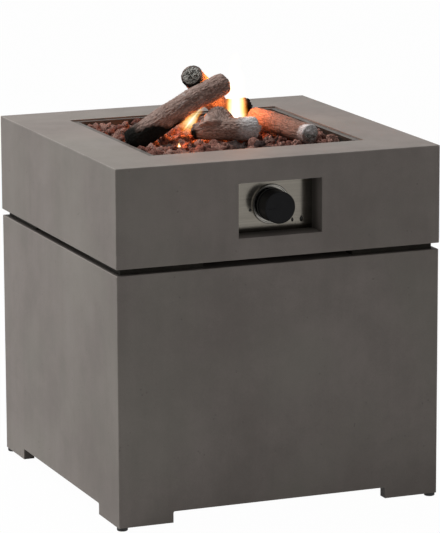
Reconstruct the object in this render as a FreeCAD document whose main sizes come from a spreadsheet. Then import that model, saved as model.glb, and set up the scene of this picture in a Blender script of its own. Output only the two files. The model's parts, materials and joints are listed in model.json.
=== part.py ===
import FreeCAD, Part
import math
import os
import random
import re

import Sketcher

# Floor-standing square gas fire pit.
# Origin: centre of the footprint on the floor. +X runs right along the front, -Y is the front, +Z is up.

os.makedirs("parts", exist_ok=True)
doc = FreeCAD.newDocument("FirePit")
Vector = FreeCAD.Vector
ALONG_X = Vector(1, 0, 0)
ALONG_Z = Vector(0, 0, 1)
CLOSE = 0.01

# Driving dimensions in millimetres, angles in degrees
SIZES = {
    # how far a cut runs past its face, and the room at the end of a blind hole
    "cut_over": 1,
    "end_room": 1,
    # feet under the legs
    "foot_radius": 9.5,
    "foot_height": 6,
    "foot_hole_radius": 2,
    "foot_sink_radius": 4,
    "foot_sink_depth": 2.5,
    "foot_screw_length": 14,
    "foot_screw_head": 3.7,
    "foot_screw_head_height": 1.8,
    "foot_screw_radius": 1.75,
    "foot_edge": 1,
    # lower block
    "base_width": 603,
    "base_height": 443,
    "base_wall": 20,
    "base_rim_width": 60,
    "base_rim_thickness": 20,
    "leg_gap_width": 402,
    "leg_gap_height": 20,
    "leg_gap_round": 3,
    "block_edge": 1.5,
    # service door in the back of the lower block
    "door_width": 380,
    "door_sill": 50,
    "door_lintel": 23,
    "door_gap": 2.5,
    "door_thickness": 18,
    "door_notch_radius": 19,
    "pivot_radius": 3,
    "pivot_depth": 12,
    "pivot_end_gap": 0.5,
    "washer_radius": 7,
    "magnet_length": 62,
    "magnet_width": 22,
    "magnet_depth": 14,
    "magnet_lap": 18,
    "strike_width": 30,
    "strike_height": 34,
    "strike_thickness": 1.5,
    "strike_inset": 2,
    "catch_screw_radius": 2,
    "catch_screw_depth": 10,
    "catch_screw_head": 3.6,
    "catch_screw_inset": 10,
    "catch_screw_aside": 8,
    # corner pads between the blocks
    "pad_height": 11,
    "pad_inset": 10,
    "pad_arm": 151.5,
    "pad_width": 28,
    "dowel_radius": 5,
    "dowel_depth": 12,
    "dowel_gap": 0.1,
    # upper block
    "head_width": 605,
    "head_height": 174,
    "head_wall": 25,
    "rim_thickness": 25,
    "corner_boss": 61,
    "corner_boss_height": 40,
    "opening_width": 405,
    "ledge_width": 10.5,
    "window_width": 156,
    "window_height": 96,
    "window_rise": 85,
    "reveal_depth": 45,
    "reveal_wall": 16,
    # burner tray
    "tray_depth": 63.8,
    "tray_drop": 2.2,
    "tray_sheet": 1.5,
    "tray_gap": 1,
    "tray_round": 12,
    "drain_radius": 4,
    "drain_place": 150,
    # burner
    "ring_radius": 100,
    "ring_tube_radius": 9,
    "ring_tube_wall": 1.5,
    "ring_lift": 12,
    "port_radius": 1.8,
    "standoff_radius": 6,
    "collar_radius": 12,
    "collar_wall": 3,
    "collar_length": 16,
    "nut_thickness": 6,
    "nut_width": 36,
    "screw_gap": 0.1,
    # mixer, jet and pipe
    "mixer_length": 52,
    "mixer_wall": 2.5,
    "mixer_throat": 7,
    "throat_taper": 8,
    "throat_length": 6,
    "air_hole_radius": 4,
    "air_hole_height": 12,
    "jet_length": 9,
    "jet_radius": 3.5,
    "jet_tip": 3,
    "jet_tip_wall": 0.7,
    "jet_bore": 0.8,
    "holder_width": 19,
    "holder_height": 16,
    "pipe_radius": 4,
    "pipe_rise": 12,
    "pipe_bend": 16,
    "pipe_nut_width": 17,
    "pipe_nut_height": 12,
    # control panel and valve
    "panel_thickness": 1.5,
    "panel_edge": 1.5,
    "panel_screw_radius": 1.75,
    "panel_screw_depth": 14,
    "panel_screw_head": 3.5,
    "panel_screw_head_height": 2.2,
    "valve_width": 36,
    "valve_height": 34,
    "valve_depth": 44,
    "valve_edge": 3,
    "valve_boss_radius": 8,
    "valve_boss_height": 9,
    "nose_radius": 8,
    "nose_length": 4,
    "nose_nut_width": 24,
    "nose_nut_thickness": 3,
    "spindle_radius": 3,
    "spindle_inside": 20,
    "spindle_gap": 0.05,
    "spindle_flat": 0.9,
    "chamber_radius": 5.5,
    "chamber_lead": 2,
    "plunger_length": 8,
    "plunger_radius": 5.4,
    "spring_radius": 4.6,
    "spring_wall": 0.9,
    "spring_seat": 0.2,
    "cap_thickness": 6,
    "cap_hex": 12,
    "igniter_width": 20,
    "igniter_height": 24,
    "igniter_depth": 30,
    "inlet_radius": 6.5785,
    "inlet_length": 12,
    "inlet_bore": 3,
    "inlet_hex": 17,
    "inlet_hex_height": 8,
    "inlet_side": 27,
    "inlet_arm_radius": 6.5,
    # knob and bezel
    "knob_radius": 28,
    "knob_skirt_radius": 29,
    "knob_skirt": 7,
    "knob_skirt_edge": 1,
    "knob_edge": 2,
    "knob_shell": 4,
    "knob_face": 6,
    "knob_boss_radius": 8,
    "knob_mark_inset": 3,
    "knob_mark_length": 14,
    "knob_mark_width": 3,
    "knob_mark_depth": 0.8,
    "push_travel": 5,
    "push_gap": 1,
    "bezel_radius": 35,
    "bezel_height": 4,
    "bezel_floor": 1.5,
    "bezel_lip": 2.5,
    "bezel_edge": 1,
    "bezel_slope": 0.6,
    "bezel_bore": 15,
    # pilot
    "pilot_side": 34,
    "pilot_front": -126,
    "pilot_sheet": 1.5,
    "pilot_length": 34,
    "pilot_width": 18,
    "pilot_shelf": 16,
    "pilot_clear": 23,
    "sensor_radius": 2.4,
    "sensor_height": 34,
    "sensor_tip": 3,
    "electrode_radius": 3,
    "electrode_height": 26,
    "electrode_tip": 10,
    "electrode_wire": 1,
    "probe_spacing": 16,
    "probe_lift": 4,
    "lead_radius": 1.2,
    "lead_hole_radius": 3,
    "lead_drop": 28,
    "lead_bend": 12,
    "lead_run": 44,
    # lava rocks
    "rock_small": 14.5,
    "rock_large": 20,
    "chip_small": 8,
    "chip_large": 12,
    "rock_gap": 0.4,
    "bed_drop": 2,
}

# Places that follow from the driving dimensions, as formulas
PLACES = {
    "base_half": "base_width / 2",
    "base_inside": "base_half - base_wall",
    "base_bottom": "foot_height",
    "base_top": "base_bottom + base_height",
    "foot_place": "base_half - foot_radius",
    "leg_gap_half": "leg_gap_width / 2",
    "leg_gap_top": "base_bottom + leg_gap_height",
    "door_half": "door_width / 2",
    "door_height": "base_top - door_lintel - door_sill",
    "door_bottom": "door_sill + door_gap",
    "door_top": "door_sill + door_height - door_gap",
    "door_head": "door_sill + door_height",
    "door_middle": "door_sill + door_height / 2",
    "door_inner_face": "base_half - door_thickness",
    "pivot_y": "base_half - door_thickness / 2",
    "pivot_x": "door_half - door_gap - door_thickness / 2",
    "door_free_edge": "-door_half + door_gap",
    "magnet_low_x": "-door_half - magnet_length + magnet_lap",
    "magnet_high_x": "-door_half + magnet_lap",
    "catch_screw_x": "magnet_low_x + catch_screw_inset",
    "catch_screw_second_x": "-door_half - catch_screw_aside",
    "bearing_half": "min(base_half; head_half)",
    "pad_outer": "bearing_half - pad_inset",
    "pad_end": "pad_outer - pad_arm",
    "pad_inner": "pad_outer - pad_width",
    "dowel_place": "pad_outer - pad_width / 2",
    "head_half": "head_width / 2",
    "head_inside": "head_half - head_wall",
    "boss_root": "head_half - head_wall / 2",
    "boss_inner": "bearing_half - corner_boss",
    "head_bottom": "base_top + pad_height",
    "head_top": "head_bottom + head_height",
    "opening_half": "opening_width / 2",
    "ledge_half": "opening_half - ledge_width",
    "window_half": "window_width / 2",
    "window_centre": "head_bottom + window_rise",
    "window_low": "window_centre - window_height / 2",
    "window_high": "window_centre + window_height / 2",
    "reveal_back": "head_half - reveal_depth",
    "flange_top": "head_top - tray_drop",
    "flange_half": "opening_half - tray_gap",
    "tray_half": "ledge_half - tray_gap",
    "tray_inside": "tray_half - tray_sheet",
    "tray_bottom": "flange_top - tray_depth",
    "tray_floor": "tray_bottom + tray_sheet",
    "ring_height": "tray_floor + ring_lift + ring_tube_radius",
    "collar_bottom": "tray_bottom - collar_length",
    "mixer_top": "tray_bottom - nut_thickness",
    "mixer_bottom": "mixer_top - mixer_length",
    "throat_low": "collar_bottom - throat_taper - throat_length",
    "mixer_radius": "collar_radius + screw_gap + mixer_wall",
    "holder_top": "mixer_bottom",
    "holder_bottom": "holder_top - holder_height",
    "panel_back": "reveal_back - panel_thickness",
    "panel_half": "window_half + reveal_wall - panel_edge",
    "panel_low": "window_low - reveal_wall + panel_edge",
    "panel_high": "window_high + reveal_wall - panel_edge",
    "screw_half": "window_half + reveal_wall / 2",
    "screw_low": "window_low - reveal_wall / 2",
    "screw_high": "window_high + reveal_wall / 2",
    "valve_back": "panel_back - valve_depth",
    "valve_middle": "panel_back - valve_depth / 2",
    "valve_low": "window_centre - valve_height / 2",
    "outlet_bottom": "valve_low - valve_boss_height",
    "nose_front": "reveal_back + nose_length",
    "spindle_back": "panel_back - spindle_inside",
    "chamber_front": "spindle_back + chamber_lead",
    "plunger_front": "spindle_back - spring_seat",
    "plunger_back": "plunger_front - plunger_length",
    "cap_front": "valve_back + cap_thickness",
    "bezel_front": "reveal_back + bezel_height",
    "bezel_seat": "reveal_back + bezel_floor",
    "knob_back": "bezel_seat + push_travel + push_gap",
    "knob_boss_back": "nose_front + push_travel + push_gap",
    "spindle_front": "head_half - knob_face",
    "pipe_low": "head_bottom + pipe_rise",
    "bed_top": "head_top - bed_drop",
    "probe_low": "tray_floor + pilot_sheet + probe_lift",
}

sheet = doc.addObject("Spreadsheet::Sheet", "Sizes")
for row, (name, number) in enumerate(SIZES.items(), start=1):
    sheet.set("A%d" % row, name)
    sheet.set("B%d" % row, str(number))
    sheet.setAlias("B%d" % row, name)
doc.recompute()


# Formulas: names of places are written out and sizes point at the sheet

def written_out(formula):
    def swap(match):
        word = match.group(0)
        if word in PLACES:
            return "(" + written_out(PLACES[word]) + ")"
        return "Sizes." + word if word in SIZES else word
    return re.sub(r"[a-z][a-z_]*", swap, str(formula))


def value(formula):
    result = sheet.evalExpression(written_out(formula))
    return float(getattr(result, "Value", result))


def bind(feature, attribute, formula):
    feature.setExpression(attribute, written_out(formula))


# Bodies, sketches and features

def new_body(label):
    body = doc.addObject("PartDesign::Body", label)
    body.Label = label
    body.AllowCompound = True
    return body


def new_sketch(body, plane, place="0"):
    sketch = body.newObject("Sketcher::SketchObject", body.Name + "_sketch")
    origin_plane = [item for item in body.Origin.OriginFeatures if item.Role == plane + "_Plane"][0]
    sketch.AttachmentSupport = [(origin_plane, "")]
    sketch.MapMode = "FlatFace"
    side = "-" if plane == "XZ" else ""
    bind(sketch, "AttachmentOffset.Base.z", "%s(%s)" % (side, place))
    return sketch


def hold(sketch, index, point, across, up):
    for kind, formula in (("DistanceX", across), ("DistanceY", up)):
        constraint = sketch.addConstraint(Sketcher.Constraint(kind, -1, 1, index, point, value(formula)))
        bind(sketch, "Constraints[%d]" % constraint, formula)


def polygon(sketch, corners):
    places = [Vector(value(across), value(up), 0) for across, up in corners]
    first = sketch.GeometryCount
    count = len(corners)
    for index in range(count):
        sketch.addGeometry(Part.LineSegment(places[index], places[(index + 1) % count]), False)
    for index in range(count):
        sketch.addConstraint(
            Sketcher.Constraint("Coincident", first + index, 2, first + (index + 1) % count, 1))
    for index, (across, up) in enumerate(corners):
        hold(sketch, first + index, 1, across, up)


def rectangle(sketch, left, right, low, high):
    polygon(sketch, [(left, low), (right, low), (right, high), (left, high)])


def square(sketch, half):
    rectangle(sketch, "-(%s)" % half, half, "-(%s)" % half, half)


def circle(sketch, across, up, radius):
    centre = Vector(value(across), value(up), 0)
    index = sketch.addGeometry(Part.Circle(centre, ALONG_Z, value(radius)), False)
    hold(sketch, index, 3, across, up)
    constraint = sketch.addConstraint(Sketcher.Constraint("Radius", index, value(radius)))
    bind(sketch, "Constraints[%d]" % constraint, radius)


def four_circles(sketch, place, radius):
    for side in ("-", ""):
        for end in ("-", ""):
            circle(sketch, "%s(%s)" % (side, place), "%s(%s)" % (end, place), radius)


def hexagon(sketch, across, up, width):
    corner = "(%s) / sqrt(3)" % width
    polygon(sketch, [
        ("(%s) + %s * cos(%d)" % (across, corner, turn), "(%s) + %s * sin(%d)" % (up, corner, turn))
        for turn in range(0, 360, 60)])


def pad(sketch, length, reverse=False, middle=False):
    feature = sketch.getParentGeoFeatureGroup().newObject("PartDesign::Pad", "Pad")
    feature.Profile = sketch
    feature.Reversed = reverse
    feature.Midplane = middle
    bind(feature, "Length", length)
    doc.recompute()
    return feature


def pocket(sketch, length=None, reverse=False, middle=False):
    body = sketch.getParentGeoFeatureGroup()
    before = body.Shape.Volume
    feature = body.newObject("PartDesign::Pocket", "Pocket")
    feature.Profile = sketch
    feature.Reversed = reverse
    feature.Midplane = middle
    if length is None:
        feature.Type = "ThroughAll"
    else:
        bind(feature, "Length", length)
    doc.recompute()
    if body.Shape.Volume > before - 1e-3:
        raise RuntimeError("a cut in %s removes nothing" % body.Label)
    return feature


def revolve(sketch, axis="V_Axis"):
    feature = sketch.getParentGeoFeatureGroup().newObject("PartDesign::Revolution", "Revolution")
    feature.Profile = sketch
    feature.ReferenceAxis = (sketch, [axis])
    feature.Angle = 360
    doc.recompute()
    return feature


def turned(label, corners, plane="XZ"):
    body = new_body(label)
    sketch = new_sketch(body, plane)
    polygon(sketch, corners)
    revolve(sketch)
    return body


def around(feature, axis, count):
    body = feature.getParentGeoFeatureGroup()
    pattern = body.newObject("PartDesign::PolarPattern", "Pattern")
    pattern.Originals = [feature]
    origin_axis = [item for item in body.Origin.OriginFeatures if item.Role == axis + "_Axis"][0]
    pattern.Axis = (origin_axis, [""])
    pattern.Angle = 360
    pattern.Occurrences = count
    body.Tip = pattern
    doc.recompute()
    return pattern


def soften(body, edges, size, kind="Fillet"):
    base = body.Tip
    feature = body.newObject("PartDesign::" + kind, kind)
    feature.Base = (base, edges)
    bind(feature, "Radius" if kind == "Fillet" else "Size", size)
    doc.recompute()
    return feature


def upright_edges(shape, half):
    return ["Edge%d" % number for number, edge in enumerate(shape.Edges, start=1)
            if abs(abs(edge.CenterOfMass.x) - half) < CLOSE and abs(abs(edge.CenterOfMass.y) - half) < CLOSE
            and edge.BoundBox.ZLength > CLOSE]


def level_edges(shape, half, level):
    return ["Edge%d" % number for number, edge in enumerate(shape.Edges, start=1)
            if edge.BoundBox.ZLength < CLOSE and abs(edge.CenterOfMass.z - level) < CLOSE
            and abs(max(abs(edge.CenterOfMass.x), abs(edge.CenterOfMass.y)) - half) < CLOSE]


def place(body, across="0", along="0", up="0"):
    for letter, formula in zip("xyz", (across, along, up)):
        bind(body, "Placement.Base." + letter, formula)
    doc.recompute()
    return body


def shaped(label, shape):
    feature = doc.addObject("Part::Feature", label)
    feature.Label = label
    feature.Shape = shape
    return feature


# Tubes that follow straight runs joined by tangent arcs

def bent_route(points, bend):
    edges = []
    start = points[0]
    for before, corner, after in zip(points, points[1:], points[2:]):
        back = (before - corner).normalize()
        onward = (after - corner).normalize()
        half = (math.pi - back.getAngle(onward)) / 2
        reach = bend * math.tan(half)
        enter = corner + back * reach
        leave = corner + onward * reach
        inward = (back + onward).normalize()
        middle = corner + inward * (bend / math.cos(half) - bend)
        edges.append(Part.LineSegment(start, enter).toShape())
        edges.append(Part.Arc(enter, middle, leave).toShape())
        start = leave
    edges.append(Part.LineSegment(start, points[-1]).toShape())
    return Part.Wire(edges)


def tube(points, radius, bend):
    route = bent_route(points, bend)
    first = (points[1] - points[0]).normalize()
    section = Part.Wire([Part.Circle(points[0], first, radius).toShape()])
    solid = route.makePipeShell([section], True, False)
    expected = math.pi * radius ** 2 * route.Length
    print("tube radius %.1f length %.1f volume ratio %.4f" % (radius, route.Length, solid.Volume / expected))
    return solid


# Lower block

def build_base():
    body = new_body("base_casing")
    walls = new_sketch(body, "XY", "base_bottom")
    square(walls, "base_half")
    square(walls, "base_inside")
    pad(walls, "base_height")
    rim = new_sketch(body, "XY", "base_top")
    square(rim, "base_half")
    square(rim, "bearing_half - base_rim_width")
    pad(rim, "base_rim_thickness", reverse=True)
    for plane in ("XZ", "YZ"):
        gap = new_sketch(body, plane)
        rectangle(gap, "-leg_gap_half", "leg_gap_half", "base_bottom - cut_over", "leg_gap_top")
        pocket(gap, "base_width + 2 * cut_over", middle=True)
    doorway = new_sketch(body, "XZ", "base_half")
    rectangle(doorway, "-door_half", "door_half", "door_sill", "door_head")
    pocket(doorway, "base_wall + cut_over", reverse=True)
    screws = new_sketch(body, "XY", "base_bottom")
    four_circles(screws, "foot_place", "foot_screw_radius + screw_gap")
    pocket(screws, "foot_screw_length + end_room", reverse=True)
    dowels = new_sketch(body, "XY", "base_top")
    four_circles(dowels, "dowel_place", "dowel_radius + dowel_gap")
    pocket(dowels, "dowel_depth + end_room")
    for level, reverse in (("door_head", True), ("door_sill", False)):
        pivot = new_sketch(body, "XY", level)
        circle(pivot, "pivot_x", "pivot_y", "pivot_radius + spindle_gap")
        pocket(pivot, "pivot_depth", reverse=reverse)
    catch = new_sketch(body, "XZ", "base_inside")
    for across in ("catch_screw_x", "catch_screw_second_x"):
        circle(catch, across, "door_middle", "catch_screw_radius + spindle_gap")
    pocket(catch, "catch_screw_depth + end_room")
    half = value("base_half")
    outer = upright_edges(body.Shape, half) + level_edges(body.Shape, half, value("base_top"))
    soften(body, outer, "block_edge")
    top = value("leg_gap_top")
    inner = [
        "Edge%d" % number for number, edge in enumerate(body.Shape.Edges, start=1)
        if abs(edge.CenterOfMass.z - top) < CLOSE and edge.BoundBox.ZLength < CLOSE
        and abs(min(abs(edge.CenterOfMass.x), abs(edge.CenterOfMass.y)) - value("leg_gap_half")) < CLOSE]
    soften(body, inner, "leg_gap_round")
    return body


def build_feet():
    corners = {"front_left": (-1, -1), "front_right": (1, -1), "back_left": (-1, 1), "back_right": (1, 1)}
    feet = []
    for name, (side, end) in corners.items():
        foot = turned("foot_" + name, [
            ("foot_hole_radius", "foot_sink_depth"), ("foot_sink_radius", "foot_sink_depth"),
            ("foot_sink_radius", "0"), ("foot_radius - foot_edge", "0"), ("foot_radius", "foot_edge"),
            ("foot_radius", "foot_height"), ("foot_hole_radius", "foot_height")])
        feet.append(place(foot, "%d * foot_place" % side, "%d * foot_place" % end))
    screws = new_body("foot_screws")
    heads = new_sketch(screws, "XY", "foot_sink_depth")
    four_circles(heads, "foot_place", "foot_screw_head")
    pad(heads, "foot_screw_head_height", reverse=True)
    shanks = new_sketch(screws, "XY", "foot_sink_depth")
    four_circles(shanks, "foot_place", "foot_screw_radius")
    pad(shanks, "base_bottom - foot_sink_depth + foot_screw_length")
    return feet + [screws]


def build_pads():
    pads = []
    for turn, name in enumerate(("back_right", "back_left", "front_left", "front_right")):
        body = new_body("pad_" + name)
        sketch = new_sketch(body, "XY", "base_top")
        polygon(sketch, [
            ("pad_outer", "pad_end"), ("pad_outer", "pad_outer"), ("pad_end", "pad_outer"),
            ("pad_end", "pad_inner"), ("pad_inner", "pad_inner"), ("pad_inner", "pad_end")])
        circle(sketch, "dowel_place", "dowel_place", "dowel_radius + dowel_gap")
        pad(sketch, "pad_height")
        body.Placement = FreeCAD.Placement(Vector(), FreeCAD.Rotation(ALONG_Z, 90 * turn))
        pads.append(body)
    dowels = new_body("register_dowels")
    sketch = new_sketch(dowels, "XY", "base_top - dowel_depth")
    four_circles(sketch, "dowel_place", "dowel_radius")
    pad(sketch, "pad_height + 2 * dowel_depth")
    return pads + [dowels]


# Service door with its pivots and catch

def build_door():
    door = new_body("rear_door")
    slab = new_sketch(door, "XY", "door_bottom")
    rectangle(slab, "door_free_edge", "pivot_x", "door_inner_face", "base_half")
    pad(slab, "door_top - door_bottom")
    bullnose = new_sketch(door, "XY", "door_bottom")
    circle(bullnose, "pivot_x", "pivot_y", "door_thickness / 2")
    pad(bullnose, "door_top - door_bottom")
    for level, reverse in (("door_top", False), ("door_bottom", True)):
        bore = new_sketch(door, "XY", level)
        circle(bore, "pivot_x", "pivot_y", "pivot_radius + spindle_gap")
        pocket(bore, "pivot_depth", reverse=reverse)
    notch = new_sketch(door, "XZ", "base_half")
    circle(notch, "door_free_edge", "door_head - door_height / 4", "door_notch_radius")
    pocket(notch, "door_thickness + cut_over", reverse=True)
    strike = new_body("strike_plate")
    plate = new_sketch(strike, "XZ", "door_inner_face")
    rectangle(plate, "door_free_edge + strike_inset", "door_free_edge + strike_inset + strike_width",
              "door_middle - strike_height / 2", "door_middle + strike_height / 2")
    pad(plate, "strike_thickness")
    pins = new_body("pivot_pins")
    washers = new_body("pivot_washers")
    for low, high in (("door_head - door_gap", "door_head"), ("door_sill", "door_sill + door_gap")):
        pin = new_sketch(pins, "XY", "%s - pivot_depth + pivot_end_gap" % low)
        circle(pin, "pivot_x", "pivot_y", "pivot_radius")
        pad(pin, "%s - %s + 2 * (pivot_depth - pivot_end_gap)" % (high, low))
        washer = new_sketch(washers, "XY", low)
        circle(washer, "pivot_x", "pivot_y", "washer_radius")
        circle(washer, "pivot_x", "pivot_y", "pivot_radius + spindle_gap")
        pad(washer, "door_gap")
    magnet = new_body("magnet_catch")
    block = new_sketch(magnet, "XZ", "base_inside")
    rectangle(block, "magnet_low_x", "magnet_high_x",
              "door_middle - magnet_width / 2", "door_middle + magnet_width / 2")
    for across in ("catch_screw_x", "catch_screw_second_x"):
        circle(block, across, "door_middle", "catch_screw_radius + spindle_gap")
    pad(block, "magnet_depth")
    screws = new_body("catch_screws")
    shanks = new_sketch(screws, "XZ", "base_inside - magnet_depth")
    heads = new_sketch(screws, "XZ", "base_inside - magnet_depth")
    for across in ("catch_screw_x", "catch_screw_second_x"):
        circle(shanks, across, "door_middle", "catch_screw_radius")
        circle(heads, across, "door_middle", "catch_screw_head")
    pad(shanks, "magnet_depth + catch_screw_depth", reverse=True)
    pad(heads, "catch_screw_radius")
    return [door, strike, pins, washers, magnet, screws]


# Upper block: slab with the fire opening, walls, corner bosses and the moulded window

def build_head():
    body = new_body("head_casing")
    walls = new_sketch(body, "XY", "head_bottom")
    square(walls, "head_half")
    square(walls, "head_inside")
    pad(walls, "head_height")
    slab = new_sketch(body, "XY", "head_top")
    square(slab, "head_half")
    square(slab, "ledge_half")
    pad(slab, "rim_thickness", reverse=True)
    rebate = new_sketch(body, "XY", "head_top")
    square(rebate, "opening_half")
    pocket(rebate, "tray_drop + tray_sheet")
    bosses = new_sketch(body, "XY", "head_bottom")
    for side in ("-", ""):
        for end in ("-", ""):
            polygon(bosses, [("%s(%s)" % (side, across), "%s(%s)" % (end, along)) for across, along in (
                ("boss_root", "boss_root"), ("boss_inner", "boss_root"),
                ("boss_inner", "boss_inner"), ("boss_root", "boss_inner"))])
    pad(bosses, "corner_boss_height")
    reveal = new_sketch(body, "XZ", "-head_half")
    rectangle(reveal, "-window_half - reveal_wall", "window_half + reveal_wall",
              "window_low - reveal_wall", "window_high + reveal_wall")
    pad(reveal, "reveal_depth", reverse=True)
    window = new_sketch(body, "XZ", "-head_half")
    rectangle(window, "-window_half", "window_half", "window_low", "window_high")
    pocket(window, "reveal_depth + cut_over")
    dowels = new_sketch(body, "XY", "head_bottom")
    four_circles(dowels, "dowel_place", "dowel_radius + dowel_gap")
    pocket(dowels, "dowel_depth + end_room", reverse=True)
    screws = new_sketch(body, "XZ", "-reveal_back")
    for across in ("-screw_half", "screw_half"):
        for up in ("screw_low", "screw_high"):
            circle(screws, across, up, "panel_screw_radius + spindle_gap")
    pocket(screws, "panel_screw_depth + end_room", reverse=True)
    half = value("head_half")
    soften(body, upright_edges(body.Shape, half) + level_edges(body.Shape, half, value("head_top"))
           + level_edges(body.Shape, half, value("head_bottom")), "block_edge")
    return body


# Burner tray, ring burner, mixer and gas pipe

PORT_COUNT = 16


def build_tray():
    body = new_body("burner_tray")
    pan = new_sketch(body, "XY", "tray_bottom")
    square(pan, "tray_half")
    pad(pan, "flange_top - tray_bottom")
    half = value("tray_half")
    soften(body, upright_edges(body.Shape, half)
           + level_edges(body.Shape, half, value("tray_bottom")), "tray_round")
    mouth = [name for name, face in ((("Face%d" % number), face)
             for number, face in enumerate(body.Shape.Faces, start=1))
             if face.BoundBox.ZMin > value("flange_top") - CLOSE][0]
    rounded = body.Tip
    shell = body.newObject("PartDesign::Thickness", "Shell")
    shell.Base = (rounded, [mouth])
    shell.Mode = "Skin"
    shell.Reversed = True
    bind(shell, "Value", "tray_sheet")
    doc.recompute()
    flange = new_sketch(body, "XY", "flange_top")
    square(flange, "flange_half")
    square(flange, "tray_half - tray_sheet / 2")
    pad(flange, "tray_sheet", reverse=True)
    holes = new_sketch(body, "XY", "tray_floor")
    circle(holes, "0", "0", "collar_radius + screw_gap")
    four_circles(holes, "drain_place", "drain_radius")
    for side in ("-", "+"):
        circle(holes, "pilot_side %s probe_spacing / 2" % side, "pilot_front", "lead_hole_radius")
    pocket(holes, "tray_sheet + cut_over")
    return body


def build_burner():
    ring = new_body("burner_ring")
    hoop = new_sketch(ring, "XZ")
    circle(hoop, "ring_radius", "ring_height", "ring_tube_radius")
    revolve(hoop)
    cross = new_sketch(ring, "XZ")
    circle(cross, "0", "ring_height", "ring_tube_radius")
    pad(cross, "2 * ring_radius", middle=True)
    collar = new_sketch(ring, "XY", "collar_bottom")
    circle(collar, "0", "0", "collar_radius")
    pad(collar, "ring_height - collar_bottom")
    gasway = new_sketch(ring, "XZ")
    circle(gasway, "0", "ring_height", "ring_tube_radius - ring_tube_wall")
    pocket(gasway, "2 * (ring_radius - ring_tube_radius)", middle=True)
    inlet = new_sketch(ring, "XY", "collar_bottom")
    circle(inlet, "0", "0", "collar_radius - collar_wall")
    pocket(inlet, "ring_height - collar_bottom", reverse=True)
    port = new_sketch(ring, "XY", "ring_height + ring_tube_radius")
    turn = "180 / %d" % PORT_COUNT
    circle(port, "ring_radius * cos(%s)" % turn, "ring_radius * sin(%s)" % turn, "port_radius")
    around(pocket(port, "2 * ring_tube_wall"), "Z", PORT_COUNT)
    legs = new_body("burner_standoffs")
    posts = new_sketch(legs, "XY", "tray_floor")
    for side in ("-", ""):
        circle(posts, side + "ring_radius", "0", "standoff_radius")
        circle(posts, "0", side + "ring_radius", "standoff_radius")
    pad(posts, "ring_lift")
    nut = new_body("burner_lock_nut")
    flats = new_sketch(nut, "XY", "tray_bottom")
    hexagon(flats, "0", "0", "nut_width")
    circle(flats, "0", "0", "collar_radius + screw_gap")
    pad(flats, "nut_thickness", reverse=True)
    return [ring, legs, nut]


def build_mixer():
    mixer = turned("mixer_tube", [
        ("collar_radius + screw_gap", "mixer_top"), ("collar_radius + screw_gap", "collar_bottom"),
        ("collar_radius - collar_wall", "collar_bottom"), ("mixer_throat", "collar_bottom - throat_taper"),
        ("mixer_throat", "throat_low"), ("collar_radius - collar_wall", "throat_low - throat_taper"),
        ("collar_radius - collar_wall", "mixer_bottom"),
        ("mixer_radius", "mixer_bottom"), ("mixer_radius", "mixer_top")])
    air = new_sketch(mixer, "XZ")
    circle(air, "0", "mixer_bottom + air_hole_height", "air_hole_radius")
    pocket(air, "2 * (mixer_radius + cut_over)", middle=True)
    air = new_sketch(mixer, "YZ")
    circle(air, "0", "mixer_bottom + air_hole_height", "air_hole_radius")
    pocket(air, "2 * (mixer_radius + cut_over)", middle=True)
    holder = new_body("jet_holder")
    flats = new_sketch(holder, "XY", "holder_bottom")
    hexagon(flats, "0", "0", "holder_width")
    circle(flats, "0", "0", "jet_bore")
    pad(flats, "holder_height")
    plate = new_sketch(holder, "XY", "holder_top")
    circle(plate, "0", "0", "mixer_radius")
    circle(plate, "0", "0", "jet_bore")
    pad(plate, "mixer_wall", reverse=True)
    jet = turned("gas_jet", [
        ("jet_bore", "holder_top"), ("jet_radius", "holder_top"),
        ("jet_radius", "holder_top + jet_length - jet_tip"),
        ("jet_bore + jet_tip_wall", "holder_top + jet_length"), ("jet_bore", "holder_top + jet_length")])
    return [mixer, holder, jet]


def build_pipe():
    low = value("pipe_low")
    front = -value("valve_middle")
    run = [Vector(0, front, value("outlet_bottom")), Vector(0, front, low), Vector(0, 0, low),
           Vector(0, 0, value("holder_bottom"))]
    pipe = shaped("gas_pipe", tube(run, value("pipe_radius"), value("pipe_bend")))
    nuts = new_body("pipe_nuts")
    for along, level, reverse in (("-valve_middle", "outlet_bottom", True), ("0", "holder_bottom", True)):
        sketch = new_sketch(nuts, "XY", level)
        hexagon(sketch, "0", along, "pipe_nut_width")
        circle(sketch, "0", along, "pipe_radius + screw_gap")
        pad(sketch, "pipe_nut_height", reverse=reverse)
    return [pipe, nuts]


# Control panel, gas valve, knob and bezel

def build_panel():
    panel = new_body("control_panel")
    sheet_metal = new_sketch(panel, "XZ", "-panel_back")
    rectangle(sheet_metal, "-panel_half", "panel_half", "panel_low", "panel_high")
    circle(sheet_metal, "0", "window_centre", "nose_radius + dowel_gap")
    for across in ("-screw_half", "screw_half"):
        for up in ("screw_low", "screw_high"):
            circle(sheet_metal, across, up, "panel_screw_radius + spindle_gap")
    pad(sheet_metal, "panel_thickness")
    screws = new_body("panel_screws")
    shanks = new_sketch(screws, "XZ", "-panel_back")
    heads = new_sketch(screws, "XZ", "-panel_back")
    for across in ("-screw_half", "screw_half"):
        for up in ("screw_low", "screw_high"):
            circle(shanks, across, up, "panel_screw_radius")
            circle(heads, across, up, "panel_screw_head")
    pad(shanks, "panel_thickness + panel_screw_depth")
    pad(heads, "panel_screw_head_height", reverse=True)
    return [panel, screws]


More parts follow.
